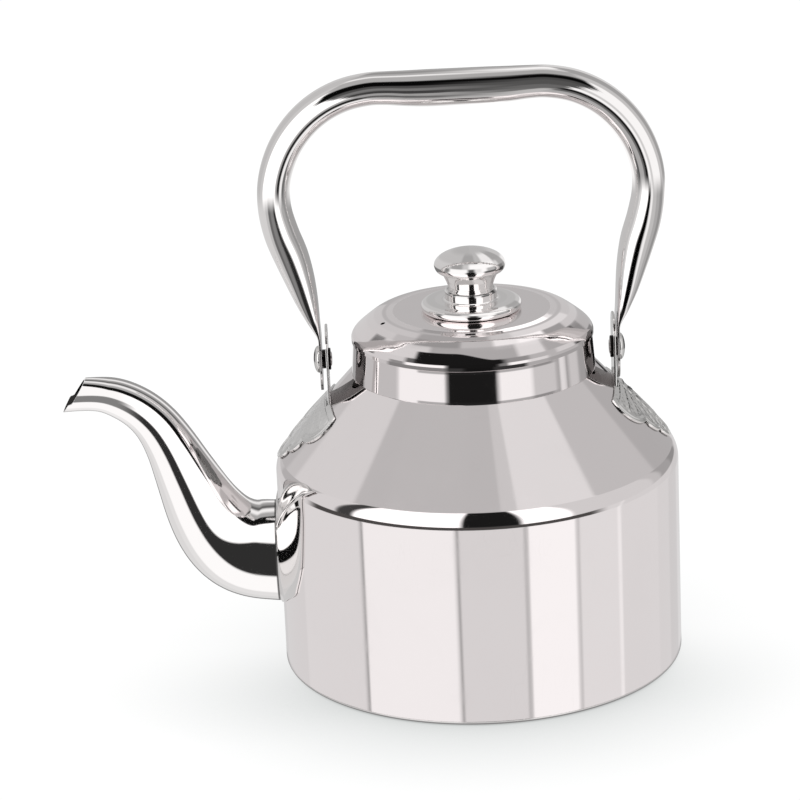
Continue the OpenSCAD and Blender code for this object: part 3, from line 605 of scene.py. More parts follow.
def floor_piece():
    me = bpy.data.meshes.new("studio_floor")
    s = 6.0
    me.from_pydata([(-s, -s, -0.0002), (s, -s, -0.0002), (s, s, -0.0002), (-s, s, -0.0002)], [], [(0, 1, 2, 3)])
    ob = bpy.data.objects.new("studio_floor", me)
    bpy.context.scene.collection.objects.link(ob)
    m = bpy.data.materials.new("studio_floor")
    m.use_nodes = True
    nt = m.node_tree
    nt.nodes.clear()
    out = nt.nodes.new("ShaderNodeOutputMaterial")
    lp, geo, gr = seen_from(nt)
    # soft contact shade, seen by the camera
    ao = nt.nodes.new("ShaderNodeAmbientOcclusion")
    ao.samples = 16
    ao.inputs["Distance"].default_value = 0.085
    shade = ramp_node(nt, ao.outputs["AO"], [(0.0, (0.45, 0.46, 0.457)), (0.45, (0.64, 0.655, 0.65)), (0.70, (0.84, 0.85, 0.847)), (0.90, (0.975, 0.98, 0.978)), (1.0, (1.03, 1.03, 1.03))])
    place = nt.nodes.new("ShaderNodeSeparateXYZ")
    nt.links.new(geo.outputs["Position"], place.inputs[0])
    front = smooth(nt, place.outputs[1], 0.015, -0.070)
    shade = mix_col(nt, math_node(nt, "MULTIPLY_ADD", front, 0.72, 0.28), (1.03, 1.03, 1.03), shade)
    cam = nt.nodes.new("ShaderNodeEmission")
    nt.links.new(shade, cam.inputs[0])
    # what the steel sees of it: the table panels, with a painted contact shadow right under the kettle
    pos = nt.nodes.new("ShaderNodeSeparateXYZ")
    nt.links.new(geo.outputs["Position"], pos.inputs[0])
    rad = math_node(nt, "SQRT", math_node(nt, "ADD", math_node(nt, "MULTIPLY", pos.outputs[0], pos.outputs[0]),
                                          math_node(nt, "MULTIPLY", pos.outputs[1], pos.outputs[1])))
    dark = smooth(nt, rad, 0.0845, 0.0875)
    refl = nt.nodes.new("ShaderNodeEmission")
    nt.links.new(mix_col(nt, dark, (0.22, 0.22, 0.22), gr.outputs[0]), refl.inputs[0])
    mx = nt.nodes.new("ShaderNodeMixShader")
    nt.links.new(lp.outputs["Is Glossy Ray"], mx.inputs[0])
    nt.links.new(cam.outputs[0], mx.inputs[1])
    nt.links.new(refl.outputs[0], mx.inputs[2])
    nt.links.new(mx.outputs[0], out.inputs[0])
    m.cycles.emission_sampling = "NONE"
    me.materials.append(m)


# ------------------------------------------------------------------ steel finishes
def steel(name, base=(0.93, 0.905, 0.898), rough=0.035, var=0.03, scratch=0.5, grain=0.3, dull=0.0, streak=(1, 1, 14), wear=0.05,
          seen=1.0):
    """polished stainless steel: tone drift, smudged roughness, fine scratches and faint polishing lines"""
    m = bpy.data.materials.new(name)
    m.use_nodes = True
    nt = m.node_tree
    bsdf = nt.nodes["Principled BSDF"]
    bsdf.inputs["Metallic"].default_value = 1.0
    co = nt.nodes.new("ShaderNodeTexCoord")
    obj = co.outputs["Object"]

    def noise(scale, detail=3.0, rough_=0.5, vec=obj, dist=0.0):
        n = nt.nodes.new("ShaderNodeTexNoise")
        n.inputs["Scale"].default_value = scale
        n.inputs["Detail"].default_value = detail
        n.inputs["Roughness"].default_value = rough_
        n.inputs["Distortion"].default_value = dist
        nt.links.new(vec, n.inputs["Vector"])
        return n.outputs[0]

    def stretched(sx, sy, sz, rz=0.0, ry=0.0):
        mp = nt.nodes.new("ShaderNodeMapping")
        mp.inputs["Scale"].default_value = (sx, sy, sz)
        mp.inputs["Rotation"].default_value = (0.0, ry, rz)
        nt.links.new(obj, mp.inputs["Vector"])
        return mp.outputs[0]

    drift = noise(22, 4)
    smudge = smooth(nt, noise(48, 5, 0.6, dist=0.6), 0.47, 0.70)
    tone = mix_col(nt, math_node(nt, "MULTIPLY", drift, 0.18), base, tuple(c * 0.93 for c in base))
    tone = mix_col(nt, math_node(nt, "MULTIPLY", smudge, wear), tone, tuple(c * (0.86 + 0.0 * i) for i, c in enumerate(base)))
    # hairline scratches: thin level sets of stretched noise
    lines = []
    for k, (rz, ry) in enumerate(((0.3, 0.2), (1.4, -0.5), (2.3, 0.9))):
        v = noise(70 + 25 * k, 2, 0.5, stretched(0.35, 6.0, 0.35, rz, ry))
        d = math_node(nt, "ABSOLUTE", math_node(nt, "SUBTRACT", v, 0.5))
        gate = smooth(nt, noise(35 + 9 * k, 2, 0.5), 0.55, 0.66)
        lines.append(math_node(nt, "MULTIPLY", smooth(nt, d, 0.012, 0.0), gate))
    hair = math_node(nt, "MAXIMUM", math_node(nt, "MAXIMUM", lines[0], lines[1]), lines[2])
    brushed = noise(260, 3, 0.6, stretched(*streak))
    r = math_node(nt, "MULTIPLY_ADD", smudge, var, rough)
    r = math_node(nt, "MULTIPLY_ADD", hair, 0.10 * scratch, r)
    r = math_node(nt, "MULTIPLY_ADD", brushed, 0.02 + dull, r)
    nt.links.new(r, bsdf.inputs["Roughness"])
    tone = mix_col(nt, math_node(nt, "MULTIPLY", hair, 0.12 * scratch), tone, tuple(c * 0.7 for c in base))
    if seen < 1.0:
        # painted shade: when a neighbouring piece mirrors this part, its colour drops to seen times the base, which
        # draws a dark edge in that reflection
        lp = nt.nodes.new("ShaderNodeLightPath")
        tone = mix_col(nt, math_node(nt, "MINIMUM", lp.outputs["Glossy Depth"], 1.0), tone, tuple(c * seen for c in base))
    nt.links.new(tone, bsdf.inputs["Base Color"])
    b1 = nt.nodes.new("ShaderNodeBump")
    b1.inputs["Strength"].default_value = grain
    b1.inputs["Distance"].default_value = 0.0000025
    nt.links.new(brushed, b1.inputs["Height"])
    b2 = nt.nodes.new("ShaderNodeBump")
    b2.invert = True
    b2.inputs["Strength"].default_value = 0.35 * scratch
    b2.inputs["Distance"].default_value = 0.000006
    nt.links.new(hair, b2.inputs["Height"])
    nt.links.new(b1.outputs[0], b2.inputs["Normal"])
    nt.links.new(b2.outputs[0], bsdf.inputs["Normal"])
    return m


M_BODY = steel("polished_steel_body", base=(0.949, 0.895, 0.896), scratch=0.35, grain=0.25)
M_BASE = steel("polished_steel_base", rough=0.09, var=0.06, grain=0.5, dull=0.03)
M_NECK = steel("polished_steel_neck", base=(0.949, 0.895, 0.896), scratch=0.3, grain=0.2)
M_SPOUT = steel("polished_steel_spout", rough=0.04, scratch=0.4, streak=(3, 3, 8))
M_FLANGE = steel("polished_steel_flange", rough=0.05, var=0.05, scratch=0.6, wear=0.12)
# seen=0.30 on both ears: painted shade, the ears show darkened where the cone mirrors them
M_EAR = steel("stamped_steel", base=(0.90, 0.885, 0.87), rough=0.06, var=0.06, scratch=0.7, grain=0.5, dull=0.02, wear=0.18, seen=0.30)
M_EAR_FRONT = steel("stamped_steel_front", base=(0.92, 0.905, 0.895), rough=0.15, var=0.06, scratch=0.5, grain=0.4, dull=0.03, wear=0.08, seen=0.30)
M_HANDLE = steel("polished_steel_handle", rough=0.035, scratch=0.5, streak=(2, 10, 2))
M_RIVET = steel("rivet_steel", base=(0.86, 0.845, 0.83), rough=0.10, var=0.06, scratch=0.8, wear=0.2)
M_WASHER = steel("dark_washer_steel", base=(0.022, 0.02, 0.019), rough=0.28, var=0.1, scratch=0.8, wear=0.2)
M_LID = steel("polished_steel_lid", base=(0.949, 0.895, 0.896), scratch=0.35, grain=0.25)
M_KNOB = steel("polished_steel_knob", rough=0.04, scratch=0.5)
# the inside of the spout is painted near-black: painted shade in the hollow of the tube
M_SPOUT_IN_SHADE = steel("spout_inside_painted_shade", base=(0.03, 0.028, 0.027), rough=0.30, var=0.1, scratch=0.6, wear=0.2)
M_INNER = steel("plain_steel_inside", base=(0.78, 0.765, 0.75), rough=0.22, var=0.1, scratch=0.8, wear=0.2)


# ------------------------------------------------------------------ body, base, neck
def build_body():
    top_in = SH_X + (SH_Z + (SH_R - 0.8) / CB - CONE_TOP) * CB / SB
    loop = [(84.93, 1.62), (R, 1.70), (R, 84.8)]
    loop = [(84.2, 1.62)] + loop[:-1] + [(R, SH_Z)]
    loop += arc(SH_X, SH_Z, SH_R, 0, 90 - 47.6, 26)[1:]
    loop += [(51.2, CONE_TOP), (top_in, CONE_TOP)]
    loop += arc(SH_X, SH_Z, SH_R - 0.8, 90 - 47.6, 0, 16)
    V, F = lathe(support(loop, 0.15, 7.0), 288)
    ob = add_piece("kettle_body", V, F, M_BODY, "kettle", ["body_shell"])
    # strainer holes behind the spout
    bm = bmesh.new()
    for i in range(-2, 3):
        for j in range(-2, 3):
            if abs(i + j) <= 2:
                mat = Matrix.Translation(Vector((-R, (i + j / 2) * 7, 48 + j * 7 * math.sqrt(3) / 2)) * MM) @ Matrix.Rotation(math.pi / 2, 4, "Y")
                bmesh.ops.create_cone(bm, cap_ends=True, segments=32, radius1=2.2 * MM, radius2=2.2 * MM, depth=12 * MM, matrix=mat)
    me = bpy.data.meshes.new("hole_cutter")
    bm.to_mesh(me)
    bm.free()
    cut = bpy.data.objects.new("hole_cutter", me)
    bpy.context.scene.collection.objects.link(cut)
    mod = ob.modifiers.new("holes", "BOOLEAN")
    mod.object = cut
    mod.operation = "DIFFERENCE"
    mod.solver = "EXACT"
    bpy.context.view_layer.update()
    dg = bpy.context.evaluated_depsgraph_get()
    new = bpy.data.meshes.new_from_object(ob.evaluated_get(dg))
    ob.modifiers.clear()
    old = ob.data
    ob.data = new
    bpy.data.meshes.remove(old)
    bpy.data.objects.remove(cut)
    new.set_sharp_from_angle(angle=math.radians(32))
    return ob


def build_base():
    loop = [(0, 0), (83.5, 0)] + arc(83.5, 1.5, 1.5, -90, 0, 10)[1:] + [(85, 1.54), (84.92, 1.58), (84.2, 1.58), (84.2, 0.8), (0, 0.8)]
    V, F = lathe(support(loop, 0.12, 9.0), 256)
    add_piece("kettle_base", V, F, M_BASE, "kettle", ["base_plate"])


def build_neck():
    loop = [(51.0, CONE_TOP + 0.02)] + [(50.0, 139.85)] + arc(49.5, 139.9, 0.5, 0, 90, 6) + [(48.75, 140.4)] + \
        arc(48.75, 140.1, 0.25, 90, 180, 4)[1:] + [(48.5, 139.5), (49.2, 139.3), (50.2, CONE_TOP + 0.02)]
    V, F = lathe(support(loop, 0.1, 3.0), 256)
    add_piece("neck_ring", V, F, M_NECK, "kettle", ["neck_collar"])


# ------------------------------------------------------------------ spout
MOUTH = np.array([(-162.2, 129.5), (-166.6, 122.6), (-168.6, 119.6), (-170.3, 119.0), (-173.9, 113.0), (-174, 108), (-190, 108),
                  (-190, 140), (-158, 140)])


def in_poly(x, z, poly):
    inside = np.zeros(np.shape(x), bool)
    j = len(poly) - 1
    for i in range(len(poly)):
        xi, zi, xj, zj = *poly[i], *poly[j]
        c = ((zi > z) != (zj > z)) & (x < (xj - xi) * (z - zi) / (zj - zi + 1e-12) + xi)
        inside ^= c
        j = i
    return inside


def build_spout():
    line = smooth_path(uniform_cr(SPOUT, 14), 40)
    d = np.gradient(line[:, :2], axis=0)
    d /= np.linalg.norm(d, axis=1)[:, None]
    d[-1] = (1, 0)
    w = np.clip((np.arange(len(line)) - (len(line) - 12)) / 11.0, 0, 1)[:, None]
    d = d * (1 - w) + np.array([[1.0, 0.0]]) * w
    d /= np.linalg.norm(d, axis=1)[:, None]
    nrm = np.stack([-d[:, 1], d[:, 0]], 1)
    arcs = 44
    steps = 110
    m = len(line)

    def point(k, s, wall):
        """point on generator k at path position s"""
        a = math.radians(-90 + 180 * k / arcs)
        i = int(min(max(math.floor(s), 0), m - 2))
        f = s - i
        p = line[i] * (1 - f) + line[i + 1] * f
        n = nrm[i] * (1 - f) + nrm[i + 1] * f
        n /= np.linalg.norm(n)
        q = p[2] - wall
        return np.array([p[0] + n[0] * q * math.sin(a), 0.01 + q * math.cos(a), p[1] + n[1] * q * math.sin(a)])

    def start(k, wall):
        last = 0.0
        for s in np.arange(0, m * 0.4, 0.5):
            P = point(k, s, wall)
            if in_poly(P[0], P[2], MOUTH):
                last = s
        lo, hi = last, last + 0.5
        for _ in range(30):
            mid = (lo + hi) / 2
            P = point(k, mid, wall)
            if in_poly(P[0], P[2], MOUTH):
                lo = mid
            else:
                hi = mid
        return hi

    grids = []
    for wall in (0.0, 0.8):
        G = np.zeros((steps + 1, arcs + 1, 3))
        for k in range(arcs + 1):
            s0 = start(k, wall)
            for j in range(steps + 1):
                u = j / steps
                G[j, k] = point(k, s0 + (m - 1 - s0) * u ** 1.15, wall)
        grids.append(G)
    # outer and inner walls, joined along both open edges and across both ends
    V = np.concatenate([g.reshape(-1, 3) for g in grids])
    row = arcs + 1
    off = (steps + 1) * row
    F = []
    inside = []
    for j in range(steps):
        for k in range(arcs):
            a = j * row + k
            F.append([a, a + 1, a + row + 1, a + row])
            F.append([off + a, off + a + row, off + a + row + 1, off + a + 1])
            inside += [0, 1]
        for k in (0, arcs):
            a = j * row + k
            F.append([a, a + row, off + a + row, off + a] if k == 0 else [a, off + a, off + a + row, a + row])
    for k in range(arcs):
        F.append([k, off + k, off + k + 1, k + 1])
        a = steps * row + k
        F.append([a, a + 1, off + a + 1, off + a])
    inside += [0] * (len(F) - len(inside))
    # the inner wall faces take the near-black material: painted shade inside the tube
    add_piece("spout_far_half", V, F, M_SPOUT, "kettle", ["spout_half_far"], sharp=40, second=(M_SPOUT_IN_SHADE, inside))
    W = V * np.array([1, -1, 1])
    add_piece("spout_near_half", W, [f[::-1] for f in F], M_SPOUT, "kettle", ["spout_half_near"], sharp=40, second=(M_SPOUT_IN_SHADE, inside))


# ------------------------------------------------------------------ spout flange
FLANGE = [[0, 70.5], [12, 72.5], [21, 79], [27, 85.2], [34, 90.4], [41, 92.3], [48.6, 91.4],
          [45.2, 89.9], [43.6, 86.8], [43.2, 77], [42, 65], [40.6, 55.5], [38.2, 48.9],
          [35.8, 44.2], [33.6, 40.2], [24, 34.6], [12, 28.8], [0, 26.4]]


def build_flange():
    a = catmull(FLANGE[:7], 8)
    b = catmull(FLANGE[6:], 8)[1:]
    half = np.vstack([a, b])
    ang = np.degrees(np.arctan2(half[:, 0], half[:, 1] - 48))
    ang = np.maximum.accumulate(ang)
    for _ in range(25):
        ang[1:-1] = 0.25 * ang[:-2] + 0.5 * ang[1:-1] + 0.25 * ang[2:]
    full = np.vstack([half, (half * [-1, 1])[-2:0:-1]])
    angs = np.concatenate([ang, (360 - ang)[-2:0:-1]])
    n = len(full)
    x0, rt = -86.1, 21.5
    steps = 22
    rows = []
    for j in range(steps + 1):
        t = j / steps
        h00, h10 = 2 * t ** 3 - 3 * t * t + 1, t ** 3 - 2 * t * t + t
        h01, h11 = -2 * t ** 3 + 3 * t * t, t ** 3 - t * t
        row = []
        for i in range(n):
            th = math.radians(angs[i])
            A = np.array([x0, rt * math.sin(th), 48 + rt * math.cos(th)])
            y, z = full[i]
            rb = float(body_r(z, 0.95))
            B = np.array([-math.sqrt(max(rb * rb - y * y, 0)), y, z])
            out = np.array([y, z - 48])
            L = np.linalg.norm(out) - rt
            out = out / np.linalg.norm(out)
            e = 2.0
            y2, z2 = y + out[0] * e, z + out[1] * e
            rb2 = float(body_r(z2, 0.95))
            B2 = np.array([-math.sqrt(max(rb2 * rb2 - y2 * y2, 0)), y2, z2])
            TB = (B2 - B) / np.linalg.norm(B2 - B)
            D = np.linalg.norm(B - A)
            P = h00 * A + h10 * np.array([1, 0, 0]) * min(D, 4.5) * 1.0 + h01 * B + h11 * TB * D * 1.25
            row.append(P)
        rows.append(row)
    G = np.array(rows)
    # keep the sheet outside the body
    rr = np.hypot(G[..., 0], G[..., 1])
    lim = body_r(G[..., 2], 0.9)
    k = np.where(rr < lim, lim / rr, 1.0)
    G[..., 0] *= k
    G[..., 1] *= k
    tan_u = np.roll(G, -1, 1) - np.roll(G, 1, 1)
    tan_v = np.gradient(G, axis=0)
    nr = np.cross(tan_u, tan_v)
    nr /= np.maximum(np.linalg.norm(nr, axis=2), 1e-9)[..., None]
    if nr[steps // 2, n // 2, 0] > 0:
        nr = -nr
    H = G - nr * 0.8
    rr = np.hypot(H[..., 0], H[..., 1])
    lim = body_r(H[..., 2], 0.06)
    k = np.where(rr < lim, lim / rr, 1.0)
    H[..., 0] *= k
    H[..., 1] *= k
    V = np.concatenate([G.reshape(-1, 3), H.reshape(-1, 3)])
    off = (steps + 1) * n
    F = []
    for j in range(steps):
        for i in range(n):
            p, q = j * n + i, j * n + (i + 1) % n
            F.append([p, q, q + n, p + n])
            F.append([off + p, off + p + n, off + q + n, off + q])
    for i in range(n):
        q = (i + 1) % n
        F.append([i, off + i, off + q, q])
        F.append([steps * n + i, steps * n + q, off + steps * n + q, off + steps * n + i])
    add_piece("spout_flange_skirt", V, F, M_FLANGE, "kettle", ["spout_flange"], sharp=50)


# ------------------------------------------------------------------ ears
TAB = {1: 58.9, -1: 61.0}    # middle of each upright tab
STRAP = {1: 60.55, -1: 63.65}  # middle of each strap
LOBES = [(12.0, 6.8, 12.2), (-12.0, 6.8, 12.2), (5.8, 19.6, 8.6), (-5.8, 19.6, 8.6), (1.2, 27.6, 6.6), (-1.2, 27.6, 6.6)]


def leaf_inside(u, v):
    ok = (np.abs(u) <= 7) & (v >= 0) & (v <= 22)
    for a, b, r in LOBES:
        ok |= (u - a) ** 2 + (v - b) ** 2 <= r * r
    return ok & (v >= 0)


def leaf_relief(u, v, d, deep):
    """stamped pattern, mm above the plate: a rim bead, a mid rib and plain veins in each lobe"""
    h = 0.34 * np.exp(-((d - 1.7) / 0.55) ** 2) - 0.18 * np.exp(-((d - 3.0) / 0.7) ** 2)
    inner = np.clip((d - 3.2) / 1.5, 0, 1) * deep
    h += inner * 0.42 * np.exp(-(u / 0.9) ** 2) * np.clip((v - 3) / 3, 0, 1) * np.clip((29 - v) / 4, 0, 1)
    for s in (1, -1):
        for (x0, y0, x1, y1, w) in ((2.0, 2.2, 19.0, 3.4, 0.7), (2.5, 4.5, 20.5, 9.5, 0.8), (2.5, 7.0, 16.5, 14.5, 0.7),
                                    (2.0, 12.0, 9.5, 19.0, 0.7), (1.5, 17.0, 9.0, 25.0, 0.65), (1.0, 22.5, 4.5, 29.5, 0.55)):
            px, py = s * u - x0, v - y0
            dx, dy = x1 - x0, y1 - y0
            L2 = dx * dx + dy * dy
            t = np.clip((px * dx + py * dy) / L2, 0, 1)
            bow = 0.9 * np.sin(np.pi * t)
            L = math.sqrt(L2)
            q = (px * dy - py * dx) / L - bow
            along = (px * dx + py * dy) / L2
            win = np.clip(along / 0.12, 0, 1) * np.clip((1 - along) / 0.2, 0, 1)
            h += inner * win * 0.30 * np.exp(-(q / w) ** 2)
    h += inner * 0.10 * np.sin(1.9 * u + 0.6) * np.sin(1.55 * v)
    return h


def ear_frame(P, tab):
    """u across, v down the slope, w along the cone normal, to x, y, z for the +X ear"""
    zb = cone_z(tab - 0.5)
    o = np.array([tab - 0.5, 0, zb])
    s = np.array([CB, 0, -SB])
    n = np.array([SB, 0, CB])
    return o + P[..., 0:1] * np.array([0, 1, 0]) + P[..., 1:2] * s + P[..., 2:3] * n


def on_cone(u, v, off, tab):
    """points above the cone at plate coordinates u, v and distance off along the cone's own normal"""
    w = np.zeros_like(u)
    for _ in range(12):
        P = ear_frame(np.stack([u, v, w], -1), tab)
        r = np.hypot(P[..., 0], P[..., 1])
        f = P[..., 2] - cone_z(r, off)
        w = w - f * 0.74
    return ear_frame(np.stack([u, v, w], -1), tab)


def build_ear(side, name, node, mat, deep):
    tab = TAB[side]
    K, J = 360, 46
    c0 = np.array([0.0, 10.5])
    ang = np.linspace(0, TAU, K, endpoint=False)
    rho = np.zeros(K)
    ts = np.linspace(0, 40, 1601)
    for i, a in enumerate(ang):
        ok = leaf_inside(c0[0] + ts * math.cos(a), c0[1] + ts * math.sin(a))
        rho[i] = ts[np.max(np.nonzero(ok))]
    edge = np.stack([c0[0] + rho * np.cos(ang), c0[1] + rho * np.sin(ang)], 1)
    tt = 1 - (1 - np.linspace(0, 1, J + 1)) ** 1.7
    U = c0[0] + (edge[:, 0] - c0[0])[None, :] * tt[1:, None]
    W = c0[1] + (edge[:, 1] - c0[1])[None, :] * tt[1:, None]
    pts = np.stack([U, W], -1)
    # distance to the outline
    D = np.full(U.shape, 1e9)
    for k in range(0, K, 2):
        D = np.minimum(D, np.hypot(pts[..., 0] - edge[k, 0], pts[..., 1] - edge[k, 1]))
    D[-1] = 0
    soft = np.sqrt(np.clip(1 - (1 - np.clip(D / 0.7, 0, 1)) ** 2, 0, 1))
    Dv = np.where(W < 3.0, np.maximum(D, 4.0), D)  # no bead along the bend
    H = 0.45 + 0.55 * soft + leaf_relief(U, W, Dv, deep) * np.clip(D / 0.6, 0, 1)
    H = np.minimum(H, 1.55)
    # offsets differ from point to point, so lift each point along the cone normal of its own azimuth
    base = on_cone(U, W, 0.04, tab)
    th = np.arctan2(base[..., 1], base[..., 0])
    nr = np.stack([SB * np.cos(th), SB * np.sin(th), CB * np.ones_like(th)], -1)
    top = base + nr * H[..., None]
    ctr = on_cone(np.array([c0[0]]), np.array([c0[1]]), 0.04, tab)[0]
    n0 = np.array([SB, 0, CB])
    V = [ctr + n0 * 1.0, ctr]
    V += list(top.reshape(-1, 3)) + list(base[-1])
    F = []
    for i in range(K):
        q = (i + 1) % K
        F.append([0, 2 + i, 2 + q])
        for j in range(J - 1):
            a, b = 2 + j * K, 2 + (j + 1) * K
            F.append([a + i, b + i, b + q, a + q])
        lo = 2 + J * K
        a = 2 + (J - 1) * K
        F.append([a + i, lo + i, lo + q, a + q])
        F.append([1, lo + q, lo + i])
    V = [np.asarray(p) for p in V]
    # upright tab: outline in y, z with a round top, small bevel
    ztop = 147.5
    outline = [(9.0, 112.0), (9.0, ztop - 9.0)] + [(9 * math.cos(a), ztop - 9 + 9 * math.sin(a)) for a in np.linspace(0, math.pi, 41)[1:-1]] + \
        [(-9.0, ztop - 9.0), (-9.0, 112.0)]
    oc = np.array([0.0, 128.0])
    O = np.array(outline)
    layers = []
    for x, ins in ((tab - 0.5, 0.22), (tab - 0.28, 0.0), (tab + 0.28, 0.0), (tab + 0.5, 0.22)):
        dirs = (O - oc)
        L = np.linalg.norm(dirs, axis=1)[:, None]
        Q = O - dirs / L * ins
        layers.append(np.stack([np.full(len(Q), x), Q[:, 0], Q[:, 1]], 1))
    b0 = len(V)
    m = len(O)
    for Lr in layers:
        V += list(Lr)
    for j in range(3):
        for i in range(m):
            q = (i + 1) % m
            F.append([b0 + j * m + i, b0 + j * m + q, b0 + (j + 1) * m + q, b0 + (j + 1) * m + i])
    F.append([b0 + i for i in range(m)][::-1])
    F.append([b0 + 3 * m + i for i in range(m)])
    # small bend radius between the tab and the plate, outside and inside of the bend line
    ys = np.linspace(-8.6, 8.6, 25)
    rows = []
    for yv in ys:
        base_pt = []
        xo = tab + 0.5
        zc = cone_z(math.hypot(xo, yv), 1.02)
        rad = 2.2
        # arc tangent to the tab face and to the plate surface
        phi = math.pi / 2 + BETA
        half_open = (math.pi - (math.pi / 2 - BETA + math.pi / 2)) / 2
        reach = rad
        for t in np.linspace(0, 1, 9):
            # quadratic curve from the tab face to the plate with the corner as control point
            A = np.array([xo, zc + reach])
            C = np.array([xo, zc])
            xp = xo + reach * CB
            B = np.array([xp, cone_z(math.hypot(xp, yv), 1.0)])
            P = (1 - t) ** 2 * A + 2 * t * (1 - t) * C + t * t * B
            base_pt.append((P[0], yv, P[1]))
        base_pt.append((xo - 0.3, yv, zc - 1.2))
        rows.append(base_pt)
    b1 = len(V)
    m2 = len(rows[0])
    for rw in rows:
        V += [np.array(p) for p in rw]
    for j in range(len(rows) - 1):
        for i in range(m2):
            q = (i + 1) % m2
            F.append([b1 + j * m2 + i, b1 + j * m2 + q, b1 + (j + 1) * m2 + q, b1 + (j + 1) * m2 + i])
    F.append([b1 + i for i in range(m2)])
    F.append([b1 + (len(rows) - 1) * m2 + i for i in range(m2)][::-1])
    V = np.array(V)
    if side < 0:
        V = V * np.array([-1, -1, 1])
    add_piece(name, V, F, mat, "kettle", [node], sharp=38)


# ------------------------------------------------------------------ handle
def build_handle():
    half = uniform_cr(BAIL, 14)
    half = smooth_path(half, 10)
    tail = [[62.1, z, 0.6, 9.95, 9] for z in np.linspace(140.2, 129.4, 10)]
    for a in np.linspace(0, 88, 26)[1:]:
        tail.append([62.1, 129.4 - 10 * math.sin(math.radians(a)), 0.6, 10 * math.cos(math.radians(a)), 9])
    half = np.vstack([half, np.array(tail)])
    left = half[:0:-1] * np.array([-1, 1, 1, 1, 1])
    line = np.vstack([left, half])
    d = np.gradient(line[:, :2], axis=0)
    d /= np.linalg.norm(d, axis=1)[:, None]
    nr = np.stack([-d[:, 1], d[:, 0]], 1)
    # the bail sits a little towards the spout, more so above the straps
    t = np.clip((line[:, 1] - 150) / 50, 0, 1)
    line[:, 0] += -1.55 - 0.85 * t * t * (3 - 2 * t)
    S = 72
    a = np.linspace(0, TAU, S, endpoint=False)
    G = np.zeros((len(line), S, 3))
    for i, (x, z, h, w, n) in enumerate(line):
        c, s = np.cos(a), np.sin(a)
        rho = (np.abs(c) ** n + np.abs(s) ** n) ** (1 / n)
        u, v = h * c / rho, w * s / rho
        G[i, :, 0] = x + nr[i, 0] * u
        G[i, :, 1] = v
        G[i, :, 2] = z + nr[i, 1] * u
    V = G.reshape(-1, 3)
    F = []
    m = len(line)
    for i in range(m - 1):
        for k in range(S):
            q = (k + 1) % S
            F.append([i * S + k, i * S + q, (i + 1) * S + q, (i + 1) * S + k])
    F.append([k for k in range(S)][::-1])
    F.append([(m - 1) * S + k for k in range(S)])
    add_piece("bail_handle", V, F, M_HANDLE, "handle", ["handle_bail"], sharp=45)


# ------------------------------------------------------------------ pivots
def build_pivots():
    for side, tag in ((1, "rear"), (-1, "front")):
        head_in = STRAP[side] + 0.66
        back_out = TAB[side] - 0.52
        back_in = back_out - 0.9
        sgn = np.array([side, 1, 1])
        loop = [(0, back_in - 0.6)] + [tuple(p) for p in catmull([(0.4, back_in - 0.6), (2.1, back_in - 0.55), (2.8, back_in - 0.38), (3.05, back_in - 0.12)], 4)] + \
            [(3.05, back_in - 0.02), (2.5, back_in - 0.02), (2.5, head_in), (5.58, head_in), (5.7, head_in + 0.12), (5.7, head_in + 0.4)] + \
            [(5.7 * math.cos(t), head_in + 0.4 + 2.1 * math.sin(t)) for t in np.linspace(0, math.pi / 2, 17)[1:-1]] + [(0, head_in + 2.5)]
        V, F = lathe(support(loop, 0.08, 3.0), 96, "X", PIVOT_Z)
        add_piece(f"{tag}_rivet", V * sgn, F, M_RIVET, "kettle", [f"{tag}_pivot_rivet"])
        x0, x1 = TAB[side] + 0.53, STRAP[side] - 0.66
        loop = [(2.56, x0), (3.9, x0), (4.0, x0 + 0.08), (4.0, x1 - 0.08), (3.9, x1), (2.56, x1)]
        V, F = lathe(loop, 96, "X", PIVOT_Z)
        add_piece(f"{tag}_spacer", V * sgn, F, M_WASHER, "kettle", [f"{tag}_spacer_washer"])
        loop = [(2.55, back_in), (4.45, back_in), (4.6, back_in + 0.15), (4.6, back_out - 0.1), (4.5, back_out), (2.55, back_out)]
        V, F = lathe(loop, 96, "X", PIVOT_Z)
        add_piece(f"{tag}_inner_washer", V * sgn, F, M_WASHER, "kettle", [f"{tag}_backing_washer"])


